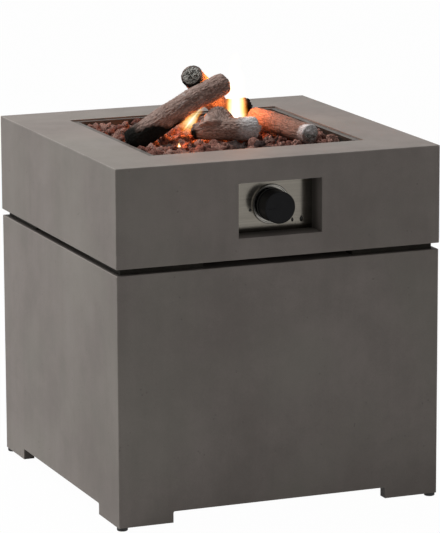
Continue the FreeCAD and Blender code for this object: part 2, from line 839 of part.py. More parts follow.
def build_valve():
    valve = new_body("gas_valve")
    block = new_sketch(valve, "XZ", "-panel_back")
    rectangle(block, "-valve_width / 2", "valve_width / 2", "valve_low", "valve_low + valve_height")
    pad(block, "valve_depth", reverse=True)
    nose = new_sketch(valve, "XZ", "-panel_back")
    circle(nose, "0", "window_centre", "nose_radius")
    pad(nose, "nose_front - panel_back")
    outlet = new_sketch(valve, "XY", "outlet_bottom")
    circle(outlet, "0", "-valve_middle", "valve_boss_radius")
    pad(outlet, "valve_boss_height + cut_over")
    spindle_bore = new_sketch(valve, "XZ", "-nose_front")
    circle(spindle_bore, "0", "window_centre", "spindle_radius + spindle_gap")
    pocket(spindle_bore, "nose_front - chamber_front + cut_over")
    chamber = new_sketch(valve, "XZ", "-chamber_front")
    circle(chamber, "0", "window_centre", "chamber_radius")
    pocket(chamber, "chamber_front - valve_back + cut_over")
    corners = ["Edge%d" % number for number, edge in enumerate(valve.Shape.Edges, start=1)
               if abs(edge.BoundBox.YLength - value("valve_depth")) < CLOSE
               and abs(edge.CenterOfMass.x) > value("valve_width") / 2 - CLOSE]
    soften(valve, corners, "valve_edge")
    cap = new_body("valve_end_cap")
    disc = new_sketch(cap, "XZ", "-valve_back")
    circle(disc, "0", "window_centre", "chamber_radius - spindle_gap")
    pad(disc, "cap_thickness")
    flats = new_sketch(cap, "XZ", "-valve_back")
    hexagon(flats, "0", "window_centre", "cap_hex")
    pad(flats, "nose_nut_thickness", reverse=True)
    nut = new_body("nose_nut")
    flats = new_sketch(nut, "XZ", "-reveal_back")
    hexagon(flats, "0", "window_centre", "nose_nut_width")
    circle(flats, "0", "window_centre", "nose_radius + dowel_gap")
    pad(flats, "nose_nut_thickness")
    igniter = new_body("spark_igniter")
    box = new_sketch(igniter, "XZ", "-valve_back")
    rectangle(box, "valve_width / 2", "valve_width / 2 + igniter_width",
              "window_centre - igniter_height / 2", "window_centre + igniter_height / 2")
    pad(box, "igniter_depth")
    inlet = new_body("gas_inlet")
    elbow = new_sketch(inlet, "YZ", "-valve_width / 2")
    circle(elbow, "-valve_middle", "window_centre", "inlet_arm_radius")
    pad(elbow, "inlet_side - valve_width / 2", reverse=True)
    drop = new_sketch(inlet, "XY", "window_centre + valve_boss_radius")
    circle(drop, "-inlet_side", "-valve_middle", "valve_boss_radius")
    pad(drop, "window_centre + valve_boss_radius - valve_low", reverse=True)
    flats = new_sketch(inlet, "XY", "valve_low")
    hexagon(flats, "-inlet_side", "-valve_middle", "inlet_hex")
    pad(flats, "inlet_hex_height", reverse=True)
    thread = new_sketch(inlet, "XY", "valve_low - inlet_hex_height")
    circle(thread, "-inlet_side", "-valve_middle", "inlet_radius")
    pad(thread, "inlet_length", reverse=True)
    gasway = new_sketch(inlet, "XY", "valve_low - inlet_hex_height - inlet_length")
    circle(gasway, "-inlet_side", "-valve_middle", "inlet_bore")
    pocket(gasway, "inlet_length + inlet_hex_height", reverse=True)
    return [valve, cap, nut, igniter, inlet]


def build_push_parts():
    plunger = new_body("valve_plunger")
    disc = new_sketch(plunger, "XZ", "-plunger_back")
    circle(disc, "0", "window_centre", "plunger_radius")
    pad(disc, "plunger_length")
    spring = new_body("return_spring")
    coil = new_sketch(spring, "XZ", "-cap_front - spring_seat")
    circle(coil, "0", "window_centre", "spring_radius")
    circle(coil, "0", "window_centre", "spring_radius - spring_wall")
    pad(coil, "plunger_back - cap_front - 2 * spring_seat")
    spindle = new_body("valve_spindle")
    rod = new_sketch(spindle, "XZ", "-spindle_back")
    circle(rod, "0", "window_centre", "spindle_radius")
    pad(rod, "spindle_front - spindle_back")
    flat = new_sketch(spindle, "XZ", "-spindle_front")
    rectangle(flat, "-spindle_radius - cut_over", "spindle_radius + cut_over",
              "window_centre + spindle_radius - spindle_flat", "window_centre + spindle_radius + cut_over")
    pocket(flat, "spindle_front - knob_boss_back")
    return [plunger, spring, spindle]


def build_knob():
    knob = new_body("control_knob")
    profile = new_sketch(knob, "XZ")
    polygon(profile, [
        ("0", "head_half"), ("knob_radius - knob_edge", "head_half"),
        ("knob_radius", "head_half - knob_edge"), ("knob_radius", "knob_back + knob_skirt"),
        ("knob_skirt_radius", "knob_back + knob_skirt - knob_skirt_edge"),
        ("knob_skirt_radius", "knob_back"), ("knob_skirt_radius - knob_shell", "knob_back"),
        ("knob_radius - knob_shell", "head_half - knob_face"),
        ("knob_boss_radius", "head_half - knob_face"), ("knob_boss_radius", "knob_boss_back"),
        ("0", "knob_boss_back")])
    revolve(profile)
    bore = new_sketch(knob, "XY", "knob_boss_back")
    circle(bore, "0", "0", "spindle_radius + spindle_gap")
    pocket(bore, "spindle_front - knob_boss_back + spindle_gap", reverse=True)
    mark = new_sketch(knob, "XY", "head_half")
    rectangle(mark, "knob_mark_inset - knob_radius", "knob_mark_inset + knob_mark_length - knob_radius",
              "-knob_mark_width / 2", "knob_mark_width / 2")
    pocket(mark, "knob_mark_depth")
    lay_forward(knob)
    bezel = turned("knob_bezel", [
        ("bezel_bore", "reveal_back"), ("bezel_radius", "reveal_back"),
        ("bezel_radius", "bezel_front - bezel_edge"),
        ("bezel_radius - bezel_edge", "bezel_front"), ("bezel_radius - bezel_lip", "bezel_front"),
        ("bezel_radius - bezel_lip - bezel_slope", "bezel_seat"), ("bezel_bore", "bezel_seat")])
    lay_forward(bezel)
    return [knob, bezel]


def lay_forward(body):
    body.Placement = FreeCAD.Placement(Vector(), FreeCAD.Rotation(ALONG_X, 90))
    place(body, "0", "0", "window_centre")


# Pilot group beside the ring

def build_pilot():
    bracket = new_body("pilot_bracket")
    foot = new_sketch(bracket, "YZ", "pilot_side")
    polygon(foot, [
        ("pilot_front - pilot_width / 2", "tray_floor"), ("pilot_front + pilot_width / 2", "tray_floor"),
        ("pilot_front + pilot_width / 2", "tray_floor + pilot_shelf"),
        ("pilot_front - pilot_width / 2", "tray_floor + pilot_shelf"),
        ("pilot_front - pilot_width / 2", "tray_floor + pilot_shelf - pilot_sheet"),
        ("pilot_front + pilot_width / 2 - pilot_sheet", "tray_floor + pilot_shelf - pilot_sheet"),
        ("pilot_front + pilot_width / 2 - pilot_sheet", "tray_floor + pilot_sheet"),
        ("pilot_front - pilot_width / 2", "tray_floor + pilot_sheet")])
    pad(foot, "pilot_length", middle=True)
    holes = new_sketch(bracket, "XY", "tray_floor + pilot_shelf")
    circle(holes, "pilot_side - probe_spacing / 2", "pilot_front", "sensor_radius + screw_gap")
    circle(holes, "pilot_side + probe_spacing / 2", "pilot_front", "electrode_radius + screw_gap")
    pocket(holes, "pilot_sheet + cut_over")
    lead_holes = new_sketch(bracket, "XY", "tray_floor + pilot_sheet")
    for side in ("-", "+"):
        circle(lead_holes, "pilot_side %s probe_spacing / 2" % side, "pilot_front", "lead_hole_radius")
    pocket(lead_holes, "pilot_sheet + cut_over")
    level = "probe_low"
    sensor = turned("flame_sensor", [
        ("0", level), ("sensor_radius", level), ("sensor_radius", level + " + sensor_height - sensor_tip"),
        ("sensor_radius / 2", level + " + sensor_height"), ("0", level + " + sensor_height")])
    place(sensor, "pilot_side - probe_spacing / 2", "pilot_front")
    electrode = turned("spark_electrode", [
        ("0", level), ("electrode_radius", level), ("electrode_radius", level + " + electrode_height"),
        ("electrode_wire", level + " + electrode_height"),
        ("electrode_wire", level + " + electrode_height + electrode_tip"),
        ("0", level + " + electrode_height + electrode_tip")])
    place(electrode, "pilot_side + probe_spacing / 2", "pilot_front")
    return [bracket, sensor, electrode] + [build_lead("sensor_lead", -1), build_lead("ignition_lead", 1)]


def build_lead(label, side):
    across = value("pilot_side") + side * value("probe_spacing") / 2
    front = value("pilot_front")
    low = value("tray_bottom - lead_drop")
    if side < 0:
        reach = value("valve_width / 2 - chamber_radius")
        end_level = value("window_centre + spindle_inside / 2")
    else:
        reach = value("valve_width / 2 + igniter_width / 2")
        end_level = value("window_centre")
    valve_back = -value("valve_back")
    run = [Vector(across, front, value("probe_low")), Vector(across, front, low),
           Vector(reach, front - value("lead_run"), end_level), Vector(reach, valve_back, end_level)]
    return shaped(label, tube(run, value("lead_radius"), value("lead_bend")))


# Ceramic logs: uneven rings of points along a bent axis, skinned side by side.
# Each place on an axis has its height over the rocks' top and its radius.

LOG_SIDES = 9
LOGS = {
    "log_crossing": {"seed": 3, "axis": [(-171, -25, -6, 21), (-134, -21, 14.5, 22.5), (-78, -15, 45, 21.5),
                                         (-35, -10, 66, 20.5), (8, -10, 84, 20), (20, -10, 89, 16)]},
    "log_back": {"seed": 5, "axis": [(-39, 13.2, 101.5, 20), (-10, 43, 77.5, 20), (30, 82, 43, 19.5),
                                     (62, 111, 15, 18)]},
    "log_forked": {"seed": 8, "axis": [(-59, -42, 9, 13), (-34, -48, 11, 17), (-5, -54, 12, 20),
                                       (28, -60, 12, 21), (56, -64, 12, 20.5), (63, -65, 12, 13)]},
    "log_right": {"seed": 13, "axis": [(86, 24, 17, 17), (98, -30, 15.5, 18.5), (110, -94, 12, 18),
                                       (122, -151, 9.5, 17)]},
    "log_stub": {"seed": 21, "axis": [(74, 152, 16, 13), (100, 149, 17, 14), (128, 145, 16.5, 14)]},
}
FORK = {"seed": 34, "axis": [(-8, -54, 14, 16), (-7, -38, 31, 15.5), (-6, -27, 44, 13.5)]}


def over_the_bed(entry):
    return Vector(entry[0], entry[1], value_of["bed_top"] + entry[2])


def log_rings(axis, seed):
    chance = random.Random(seed)
    points = [over_the_bed(entry) for entry in axis]
    knobbly = [1 + 0.1 * (chance.random() - 0.5) for side in range(LOG_SIDES)]
    rings = []
    for index, centre in enumerate(points):
        ahead = points[min(index + 1, len(points) - 1)] - points[max(index - 1, 0)]
        ahead.normalize()
        across = ahead.cross(ALONG_Z).normalize()
        upward = across.cross(ahead)
        ring = []
        for side in range(LOG_SIDES):
            angle = 2 * math.pi * side / LOG_SIDES
            reach = axis[index][3] * knobbly[side] * (1 + 0.05 * (chance.random() - 0.5))
            ring.append(centre + across * (reach * math.cos(angle)) + upward * (reach * math.sin(angle)))
        rings.append(ring)
    return rings


def skinned(rings):
    faces = []
    for lower, upper in zip(rings, rings[1:]):
        for side in range(len(lower)):
            onward = (side + 1) % len(lower)
            faces.append(flat_face([lower[side], lower[onward], upper[side]]))
            faces.append(flat_face([lower[onward], upper[onward], upper[side]]))
    for ring in (rings[0], rings[-1]):
        centre = sum(ring, Vector()) * (1 / len(ring))
        for side in range(len(ring)):
            faces.append(flat_face([centre, ring[side], ring[(side + 1) % len(ring)]]))
    return closed_solid(faces)


def flat_face(corners):
    return Part.Face(Part.makePolygon(corners + corners[:1]))


def closed_solid(faces):
    solid = Part.Solid(Part.makeShell(faces))
    if solid.Volume < 0:
        solid.reverse()
    return solid


def build_logs():
    logs = []
    for label, log in LOGS.items():
        shape = skinned(log_rings(log["axis"], log["seed"]))
        if label == "log_forked":
            shape = shape.fuse(skinned(log_rings(FORK["axis"], FORK["seed"])))
        logs.append(shaped(label, shape))
    return logs


# Lava rocks, dropped one by one into the lowest free place of the tray.
# Small ones follow into the hollows on top, and each swells into the space around it.

LOG_MARGIN = 1.08
RING_MARGIN = 3
ROCK_TRIES = 620
CHIP_TRIES = 260
ROCK_SPOTS = 110
REACH_OF_A_ROCK = 1.45


def capsules():
    for log in list(LOGS.values()) + [FORK]:
        for start, end in zip(log["axis"], log["axis"][1:]):
            yield over_the_bed(start), over_the_bed(end), start[3] * LOG_MARGIN, end[3] * LOG_MARGIN
    ring_height = value_of["ring_height"]
    arm = Vector(0, value_of["ring_radius"], 0)
    middle = Vector(0, 0, ring_height)
    yield middle - arm, middle + arm, value_of["ring_tube_radius"], value_of["ring_tube_radius"]
    yield Vector(), middle, value_of["collar_radius"], value_of["collar_radius"]
    pilot = Vector(value_of["pilot_side"], value_of["pilot_front"], ring_height)
    floor = Vector(pilot.x, pilot.y, value_of["tray_floor"])
    yield floor, pilot, value_of["pilot_clear"], value_of["pilot_clear"]


def gap_to_ring(centre):
    reach = math.hypot(centre.x, centre.y)
    scale = value_of["ring_radius"] / max(reach, 1)
    towards = Vector(centre.x * scale, centre.y * scale, value_of["ring_height"]) - centre
    margin = RING_MARGIN if reach < value_of["ring_radius"] else RING_MARGIN / 3
    return towards, towards.Length - value_of["ring_tube_radius"] - margin


def gaps_to_things(centre, things):
    found = [gap_to_ring(centre)]
    for start, end, start_radius, end_radius in things:
        along = end - start
        share = max(0, min(1, (centre - start).dot(along) / along.dot(along)))
        towards = start + along * share - centre
        found.append((towards, towards.Length - start_radius - share * (end_radius - start_radius)))
    return found


def resting_height(across, along, radius, rocks):
    height = value_of["tray_floor"] + radius + value_of["rock_gap"]
    reach = value_of["ring_tube_radius"] + radius + value_of["rock_gap"]
    offsets = [(abs(math.hypot(across, along) - value_of["ring_radius"]), reach)]
    if abs(along) < value_of["ring_radius"]:
        offsets.append((abs(across), reach))
    offsets.append((math.hypot(across, along), value_of["collar_radius"] + radius + value_of["rock_gap"]))
    pilot_offset = math.hypot(across - value_of["pilot_side"], along - value_of["pilot_front"])
    offsets.append((pilot_offset, value_of["pilot_clear"] + radius + value_of["rock_gap"]))
    for offset, reach in offsets:
        if offset < reach:
            height = max(height, value_of["ring_height"] + math.sqrt(reach ** 2 - offset ** 2))
    for rock_across, rock_along, rock_height, rock_radius in rocks:
        reach = radius + rock_radius + value_of["rock_gap"]
        square_gap = reach ** 2 - (across - rock_across) ** 2 - (along - rock_along) ** 2
        if square_gap > 0:
            height = max(height, rock_height + math.sqrt(square_gap))
    return height


def drop_rocks(chance, things, rocks, kind, tries):
    small = value_of[kind + "_small"]
    large = value_of[kind + "_large"]
    for attempt in range(tries):
        radius = small + chance.random() ** 1.5 * (large - small)
        limit = value_of["tray_inside"] - radius - value_of["rock_gap"]
        spots = []
        for spot in range(ROCK_SPOTS):
            across = chance.uniform(-limit, limit)
            along = chance.uniform(-limit, limit)
            height = resting_height(across, along, radius, rocks)
            if height + radius < value_of["bed_top"]:
                spots.append((height, across, along))
        for height, across, along in sorted(spots):
            centre = Vector(across, along, height)
            if min(gap for towards, gap in gaps_to_things(centre, things)) > radius + value_of["rock_gap"]:
                rocks.append((across, along, height, radius))
                break


def rock_walls(rock, rocks, things):
    centre = Vector(*rock[:3])
    gap = value_of["rock_gap"]
    side = value_of["tray_inside"] - gap
    walls = [(Vector(1, 0, 0), side - centre.x), (Vector(-1, 0, 0), side + centre.x),
             (Vector(0, 1, 0), side - centre.y), (Vector(0, -1, 0), side + centre.y),
             (Vector(0, 0, 1), value_of["bed_top"] - centre.z),
             (Vector(0, 0, -1), centre.z - value_of["tray_floor"] - gap)]
    walls += [(towards.normalize(), space - gap) for towards, space in gaps_to_things(centre, things)]
    for other in rocks:
        towards = Vector(*other[:3]) - centre
        distance = towards.Length
        if 0 < distance < 4 * value_of["rock_large"]:
            share = (distance ** 2 + rock[3] ** 2 - other[3] ** 2) / (2 * distance)
            walls.append((towards.normalize(), share - gap / 2))
    return walls


def rock_solid(rock, walls, chance):
    golden = (1 + math.sqrt(5)) / 2
    corners = [Vector(*place) for side in (-1, 1) for end in (-golden, golden)
               for place in ((0, side, end), (side, end, 0), (end, 0, side))]
    turn = FreeCAD.Rotation(Vector(chance.random(), chance.random(), 1), 360 * chance.random())
    centre = Vector(*rock[:3])
    spots = []
    for corner in corners:
        outward = turn.multVec(corner).normalize()
        reach = rock[3] * chance.uniform(1, REACH_OF_A_ROCK)
        for normal, space in walls:
            facing = outward.dot(normal)
            if facing > CLOSE:
                reach = min(reach, space / facing)
        spots.append(centre + outward * reach)
    faces = []
    for first, second, third in neighbours(corners):
        faces.append(flat_face([spots[first], spots[second], spots[third]]))
    return closed_solid(faces)


def neighbours(corners):
    count = len(corners)
    for first in range(count):
        for second in range(first + 1, count):
            for third in range(second + 1, count):
                sides = ((first, second), (second, third), (third, first))
                if all(abs(corners[a].distanceToPoint(corners[b]) - 2) < CLOSE for a, b in sides):
                    yield first, second, third


def build_rocks():
    chance = random.Random(11)
    things = list(capsules())
    rocks = []
    drop_rocks(chance, things, rocks, "rock", ROCK_TRIES)
    drop_rocks(chance, things, rocks, "chip", CHIP_TRIES)
    print("lava rocks", len(rocks))
    solids = [rock_solid(rock, rock_walls(rock, rocks, things), chance) for rock in rocks]
    return shaped("lava_rocks", Part.Compound(solids))


value_of = {name: value(name) for name in list(SIZES) + list(PLACES)}
pieces = [build_base()] + build_feet() + build_pads() + build_door() + [build_head(), build_tray()]
pieces += build_burner() + build_mixer() + build_pipe() + build_panel() + build_valve()
pieces += build_push_parts() + build_knob() + build_pilot() + build_logs() + [build_rocks()]
doc.recompute()

for item in doc.Objects:
    if "Invalid" in item.State or "Error" in item.State:
        raise RuntimeError("%s is in state %s" % (item.Name, item.State))
for piece in pieces:
    if piece.Shape.isNull() or not piece.Shape.isValid():
        raise RuntimeError("%s has no valid shape" % piece.Label)
for piece in pieces:
    piece.Shape.exportStep("parts/%s.step" % piece.Label)
print("pieces", len(pieces), "solids", sum(len(piece.Shape.Solids) for piece in pieces))
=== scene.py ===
import json
import math
import random

import bmesh
import bpy
from mathutils import Euler, Matrix, Vector, noise


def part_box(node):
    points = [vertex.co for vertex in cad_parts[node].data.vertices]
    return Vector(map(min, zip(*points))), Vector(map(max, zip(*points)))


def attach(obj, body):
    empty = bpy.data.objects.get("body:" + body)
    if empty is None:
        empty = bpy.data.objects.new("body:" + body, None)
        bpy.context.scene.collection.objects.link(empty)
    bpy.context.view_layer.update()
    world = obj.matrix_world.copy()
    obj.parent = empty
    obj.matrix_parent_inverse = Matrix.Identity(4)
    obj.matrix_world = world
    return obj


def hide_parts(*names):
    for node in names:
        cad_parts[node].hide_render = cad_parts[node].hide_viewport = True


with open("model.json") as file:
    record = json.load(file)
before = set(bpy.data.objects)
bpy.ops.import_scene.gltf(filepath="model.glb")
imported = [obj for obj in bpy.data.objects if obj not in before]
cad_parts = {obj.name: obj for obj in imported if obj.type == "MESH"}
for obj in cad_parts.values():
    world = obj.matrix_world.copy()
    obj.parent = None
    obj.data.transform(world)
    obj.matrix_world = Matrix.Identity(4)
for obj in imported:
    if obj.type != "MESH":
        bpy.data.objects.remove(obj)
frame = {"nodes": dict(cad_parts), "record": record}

noiseSeed = 11
noise.seed_set(noiseSeed)           # unseeded, noise_vector differs from run to run
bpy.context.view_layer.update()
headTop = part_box("head_casing")[1].z
print("frame loaded, nodes:", len(frame["nodes"]))


# Camera at the photographer's place, a long lens a few metres away

camera = {
    "place": (-2.3205, -5.7669, 1.6845),
    "yaw": 21.999,                  # degrees from +Y towards +X
    "pitch": 11.816,                # degrees down
    "roll": -0.243,
    "lens": 237.46,                 # millimetres, as the sensor
    "sensor": 36.0,
    "clipEnd": 60.0,
}


def addToScene(name, data):
    made = bpy.data.objects.new(name, data)
    bpy.context.scene.collection.objects.link(made)
    return made


def setCamera(settings):
    lensData = bpy.data.cameras.new("camera")
    lensData.lens = settings["lens"]
    lensData.sensor_width = settings["sensor"]
    lensData.clip_end = settings["clipEnd"]
    viewer = addToScene("camera", lensData)
    aim = Euler((math.radians(90 - settings["pitch"]), 0, -math.radians(settings["yaw"]))).to_matrix()
    aim = aim @ Matrix.Rotation(math.radians(settings["roll"]), 3, "Z")
    viewer.matrix_world = Matrix.Translation(settings["place"]) @ aim.to_4x4()
    bpy.context.scene.camera = viewer


setCamera(camera)
bpy.context.scene.view_settings.view_transform = "Standard"


# Shader maths: a Signal is a socket that Python's operators work on

class Signal:
    def __init__(self, finish, socket):
        self.finish = finish
        self.socket = socket

    def maths(self, operation, *values):
        return self.finish.node("ShaderNodeMath", {"operation": operation}, values)

    def __add__(self, other):
        return self.maths("ADD", self, other)

    def __radd__(self, other):
        return self.maths("ADD", other, self)

    def __sub__(self, other):
        return self.maths("SUBTRACT", self, other)

    def __rsub__(self, other):
        return self.maths("SUBTRACT", other, self)

    def __mul__(self, other):
        return self.maths("MULTIPLY", self, other)

    def __rmul__(self, other):
        return self.maths("MULTIPLY", other, self)

    def __truediv__(self, other):
        return self.maths("DIVIDE", self, other)

    def __pow__(self, other):
        return self.maths("POWER", self, other)

    def __abs__(self):
        return self.maths("ABSOLUTE", self)

    def above(self, low, high):     # 0 under low, 1 over high, smooth between
        return self.finish.node("ShaderNodeMapRange", {"interpolation_type": "SMOOTHSTEP"}, (self, low, high))

    def below(self, low, high):     # 1 under low, 0 over high
        return 1 - self.above(low, high)

    def capped(self):
        return self.finish.node("ShaderNodeClamp", {}, (self,))


def weighted(signals, shares):
    parts = [signal * share for signal, share in zip(signals, shares)]
    return sum(parts[1:], parts[0])


class Finish:                       # the nodes of a material, or of a world or a lamp
    def __init__(self, name, owner=None, kind="Material"):
        self.owner = owner or bpy.data.materials.new(name)
        self.owner.use_nodes = True
        self.nodes = self.owner.node_tree.nodes
        self.links = self.owner.node_tree.links
        self.nodes.clear()
        self.output = self.nodes.new("ShaderNodeOutput" + kind)

    def node(self, kind, settings=None, values=(), output=0):
        made = self.nodes.new(kind)
        for key, setting in (settings or {}).items():
            if key == "stops":
                self.fillRamp(made.color_ramp, setting)
            else:
                setattr(made, key, setting)
        pairs = values.items() if isinstance(values, dict) else enumerate(values)
        for slot, given in pairs:
            self.feed(made.inputs[slot], given)
        return Signal(self, made.outputs[output])

    def fillRamp(self, ramp, stops):
        while len(ramp.elements) < len(stops):
            ramp.elements.new(1)
        for element, (position, colour) in zip(ramp.elements, stops):
            element.position = position
            element.color = (*colour, 1)

    def feed(self, socket, given):
        if isinstance(given, Signal):
            self.links.new(given.socket, socket)
        elif socket.type == "RGBA" and len(given) == 3:
            socket.default_value = (*given, 1)
        else:
            socket.default_value = given

    def place(self):
        return self.node("ShaderNodeTexCoord", output="Object")

    def attribute(self, name, output="Fac"):
        return self.node("ShaderNodeAttribute", {"attribute_name": name}, output=output)

    def split(self, given, kind="ShaderNodeSeparateXYZ"):       # the three parts of a vector or a colour
        outputs = self.node(kind, values=(given,)).socket.node.outputs
        return [Signal(self, outputs[index]) for index in range(3)]

    def clouds(self, vector, scale, detail=4.0, rough=0.5, warp=0.0):
        if isinstance(scale, tuple):                            # finer one way than the other
            vector = self.node("ShaderNodeMapping", values={"Vector": vector, "Scale": scale})
            scale = 1.0
        return self.node("ShaderNodeTexNoise", values={
            "Vector": vector, "Scale": scale, "Detail": detail, "Roughness": rough, "Distortion": warp})

    def cells(self, vector, scale):
        return self.node("ShaderNodeTexVoronoi", values={"Vector": vector, "Scale": scale}, output="Distance")

    def mix(self, share, first, second):
        return self.node("ShaderNodeMix", {"data_type": "RGBA"}, {0: share, 6: first, 7: second}, output=2)

    def bump(self, height, distance, strength):
        return self.node("ShaderNodeBump", values={
            "Height": height, "Distance": distance, "Strength": strength})

    def surface(self, colour, **sockets):
        values = {name.replace("_", " "): given for name, given in sockets.items()}
        return self.show(self.node("ShaderNodeBsdfPrincipled", values={"Base Color": colour, **values}))

    def show(self, shader):
        self.feed(self.output.inputs["Surface"], shader)
        return self.owner


# Finish of the moulded blocks. Here and below, a noise is given by its scale, detail,
# roughness and warp, a range by the values where its mask starts and is full,
# and a bump by its distance and strength.

concrete = {
    "dark": (0.178, 0.155, 0.140),
    "light": (0.262, 0.231, 0.211),
    "olive": (0.230, 0.222, 0.188),
    "edge": (0.36, 0.33, 0.30),
    "pore": (0.07, 0.062, 0.055),
    # painted shade: the colour of the blocks' shaded places and of the panel's foot
    "paintedShade": (0.032, 0.026, 0.021),
    "stains": (3.4, 7.0, 0.62, 0.4),
    "patches": (13.94, 6.0, 0.6, 0.2),
    "streaks": ((15.0, 15.0, 1.5), 5.0, 0.6),
    "grain": (420.0, 3.0, 0.6),
    "toneShares": (0.42, 0.25, 0.2, 0.13),          # of the four noises above
    "toneRange": (0.36, 0.66),
    "cast": (5.78, 3.0, 0.5),
    "castRange": (0.42, 0.7),
    "castShare": 0.3,
    "poreScale": 95.0,
    "poreRange": (0.09, 0.2),
    "poreFields": (30.0, 2.0),
    "poreFieldRange": (0.55, 0.7),
    "poreShare": 0.32,
    "edgeWidth": 0.003,
    "wearRange": (0.3, 0.62),
    "wearShare": 0.5,
    "rough": 0.58,
    "roughShares": (0.16, 0.08),                    # of patches and grain
    "heightShares": (0.35, 0.8, 1.2, -1.6),         # of grain, patches, stains and pores
    "bump": (0.0007, 0.55),
    "ior": 1.45,
}
# Painted shade on the blocks: where it falls, in metres
blockShade = {
    "skin": (0.0022, 0.00066),                      # depth under the base's outer faces
    "legs": (0.030, 0.045),                         # heights that the cut-outs of the base reach
    "rim": (0.4412, 0.4424),                        # heights of its rim, under the head
    "baseShare": 0.8,
    "windowHalf": (0.079, 0.081),
    "windowBack": (-0.256, -0.25),
    "windowTop": (0.03, 0.02),                      # under the head's top
    "windowDepth": (0.010, 0.040),
    "windowShare": 0.88,
}


def baseShadow(place, half, settings):
    across, along, up = place
    outer, inner = settings["skin"]
    within = across.below(half - outer, half - inner) * along.below(half - outer, half - inner)
    ends = up.below(*settings["legs"]) + up.above(*settings["rim"])
    return within * ends.capped() * settings["baseShare"]


def windowShadow(place, front, top, settings):
    across, along, up = place
    start, full = settings["windowTop"]
    inside = across.below(*settings["windowHalf"]) * along.below(*settings["windowBack"])
    inside = inside * up.below(top - start, top - full)
    depth = (along - front).above(*settings["windowDepth"])
    return inside * depth * settings["windowShare"]


def concreteFinish(name, node, settings):
    finish = Finish(name)
    place = finish.place()
    low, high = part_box(node)
    stains, patches, streaks, grain = [finish.clouds(place, *settings[key])
                                       for key in ("stains", "patches", "streaks", "grain")]
    tone = weighted((stains, patches, streaks, grain), settings["toneShares"])
    colour = finish.mix(tone.above(*settings["toneRange"]), settings["dark"], settings["light"])
    cast = finish.clouds(place, *settings["cast"]).above(*settings["castRange"])
    colour = finish.mix(cast * settings["castShare"], colour, settings["olive"])
    pores = finish.cells(place, settings["poreScale"]).below(*settings["poreRange"])
    pores = pores * finish.clouds(place, *settings["poreFields"]).above(*settings["poreFieldRange"])
    colour = finish.mix(pores * settings["poreShare"], colour, settings["pore"])
    across, along, up = finish.split(place)
    mirrored = (abs(across), abs(along), up)
    half, width = high.x, settings["edgeWidth"]
    nearSides = [value.above(half - width, half) for value in mirrored[:2]]
    edge = nearSides[0] * nearSides[1]
    if node == "head_casing":
        edge = edge + up.above(high.z - width, high.z) * (nearSides[0] + nearSides[1])
    worn = edge.capped() * patches.above(*settings["wearRange"]) * settings["wearShare"]
    colour = finish.mix(worn, colour, settings["edge"])
    if node == "base_casing":
        # painted shade inside the base: on the leg cut-outs and on the rim under the head
        colour = finish.mix(baseShadow(mirrored, half, blockShade), colour, settings["paintedShade"])
    if node == "head_casing":
        # painted shade in the window's recess, darker the deeper in
        window = windowShadow((mirrored[0], along, up), low.y, high.z, blockShade)
        colour = finish.mix(window, colour, settings["paintedShade"])
    roughness = settings["rough"] + weighted((patches, grain), settings["roughShares"])
    height = weighted((grain, patches, stains, pores), settings["heightShares"])
    return finish.surface(colour, Roughness=roughness, Normal=finish.bump(height, *settings["bump"]),
                          IOR=settings["ior"])


# Finishes of metal and plastic parts

metalStyle = {
    "grainLook": (5.0, 0.65),                       # detail and roughness
    "grainRange": (0.3, 0.7),
    "marks": (45.0, 5.0, 0.6),
    "markRange": (0.58, 0.75),
    "markShare": 0.25,
    "heatRange": (0.34, 0.66),
    "shadeShare": 0.8,
    "roughShares": (0.12, 0.08),                    # of grain and marks
    "heightShares": (1.0, 0.3),
    "bumpStrength": 0.5,
}
plasticStyle = {
    "grainLook": (3.0, 0.6),
    "wear": (60.0, 6.0, 0.6),
    "wearRange": (0.35, 0.7),
    "wearRough": 0.12,
    "bumpStrength": 0.5,
}


def metalFinish(name, settings):
    finish = Finish(name)
    place = finish.place()
    style = metalStyle
    grain = finish.clouds(place, settings["grain"], *style["grainLook"])
    marks = finish.clouds(place, *style["marks"])
    colour = finish.mix(grain.above(*style["grainRange"]), settings["dark"], settings["light"])
    if "tint" in settings:                          # from the heat of the burner
        heat = finish.clouds(place, *settings["heat"]).above(*style["heatRange"])
        colour = finish.mix(heat * settings["tintShare"], colour, settings["tint"])
    colour = finish.mix(marks.above(*style["markRange"]) * style["markShare"], colour, settings["dark"])
    if "shade" in settings:                         # painted shadow of the sill, up to these heights
        sill = finish.split(place)[2].below(*settings["shade"])
        colour = finish.mix(sill * style["shadeShare"], colour, concrete["paintedShade"])
    roughness = settings["rough"] + weighted((grain, marks), style["roughShares"])
    height = weighted((grain, marks), style["heightShares"])
    return finish.surface(colour, Metallic=1.0, Roughness=roughness,
                          Normal=finish.bump(height, settings["relief"], style["bumpStrength"]))


def plasticFinish(name, settings):
    finish = Finish(name)
    place = finish.place()
    style = plasticStyle
    grain = finish.clouds(place, settings["grainScale"], *style["grainLook"])
    wear = finish.clouds(place, *style["wear"])
    colour = finish.mix(wear.above(*style["wearRange"]), settings["dark"], settings["light"])
    return finish.surface(colour, Roughness=settings["rough"] + wear * style["wearRough"],
                          Normal=finish.bump(grain, settings["relief"], style["bumpStrength"]),
                          Coat_Weight=settings.get("coat", 0.0),
                          Specular_IOR_Level=settings.get("gloss", 0.5))


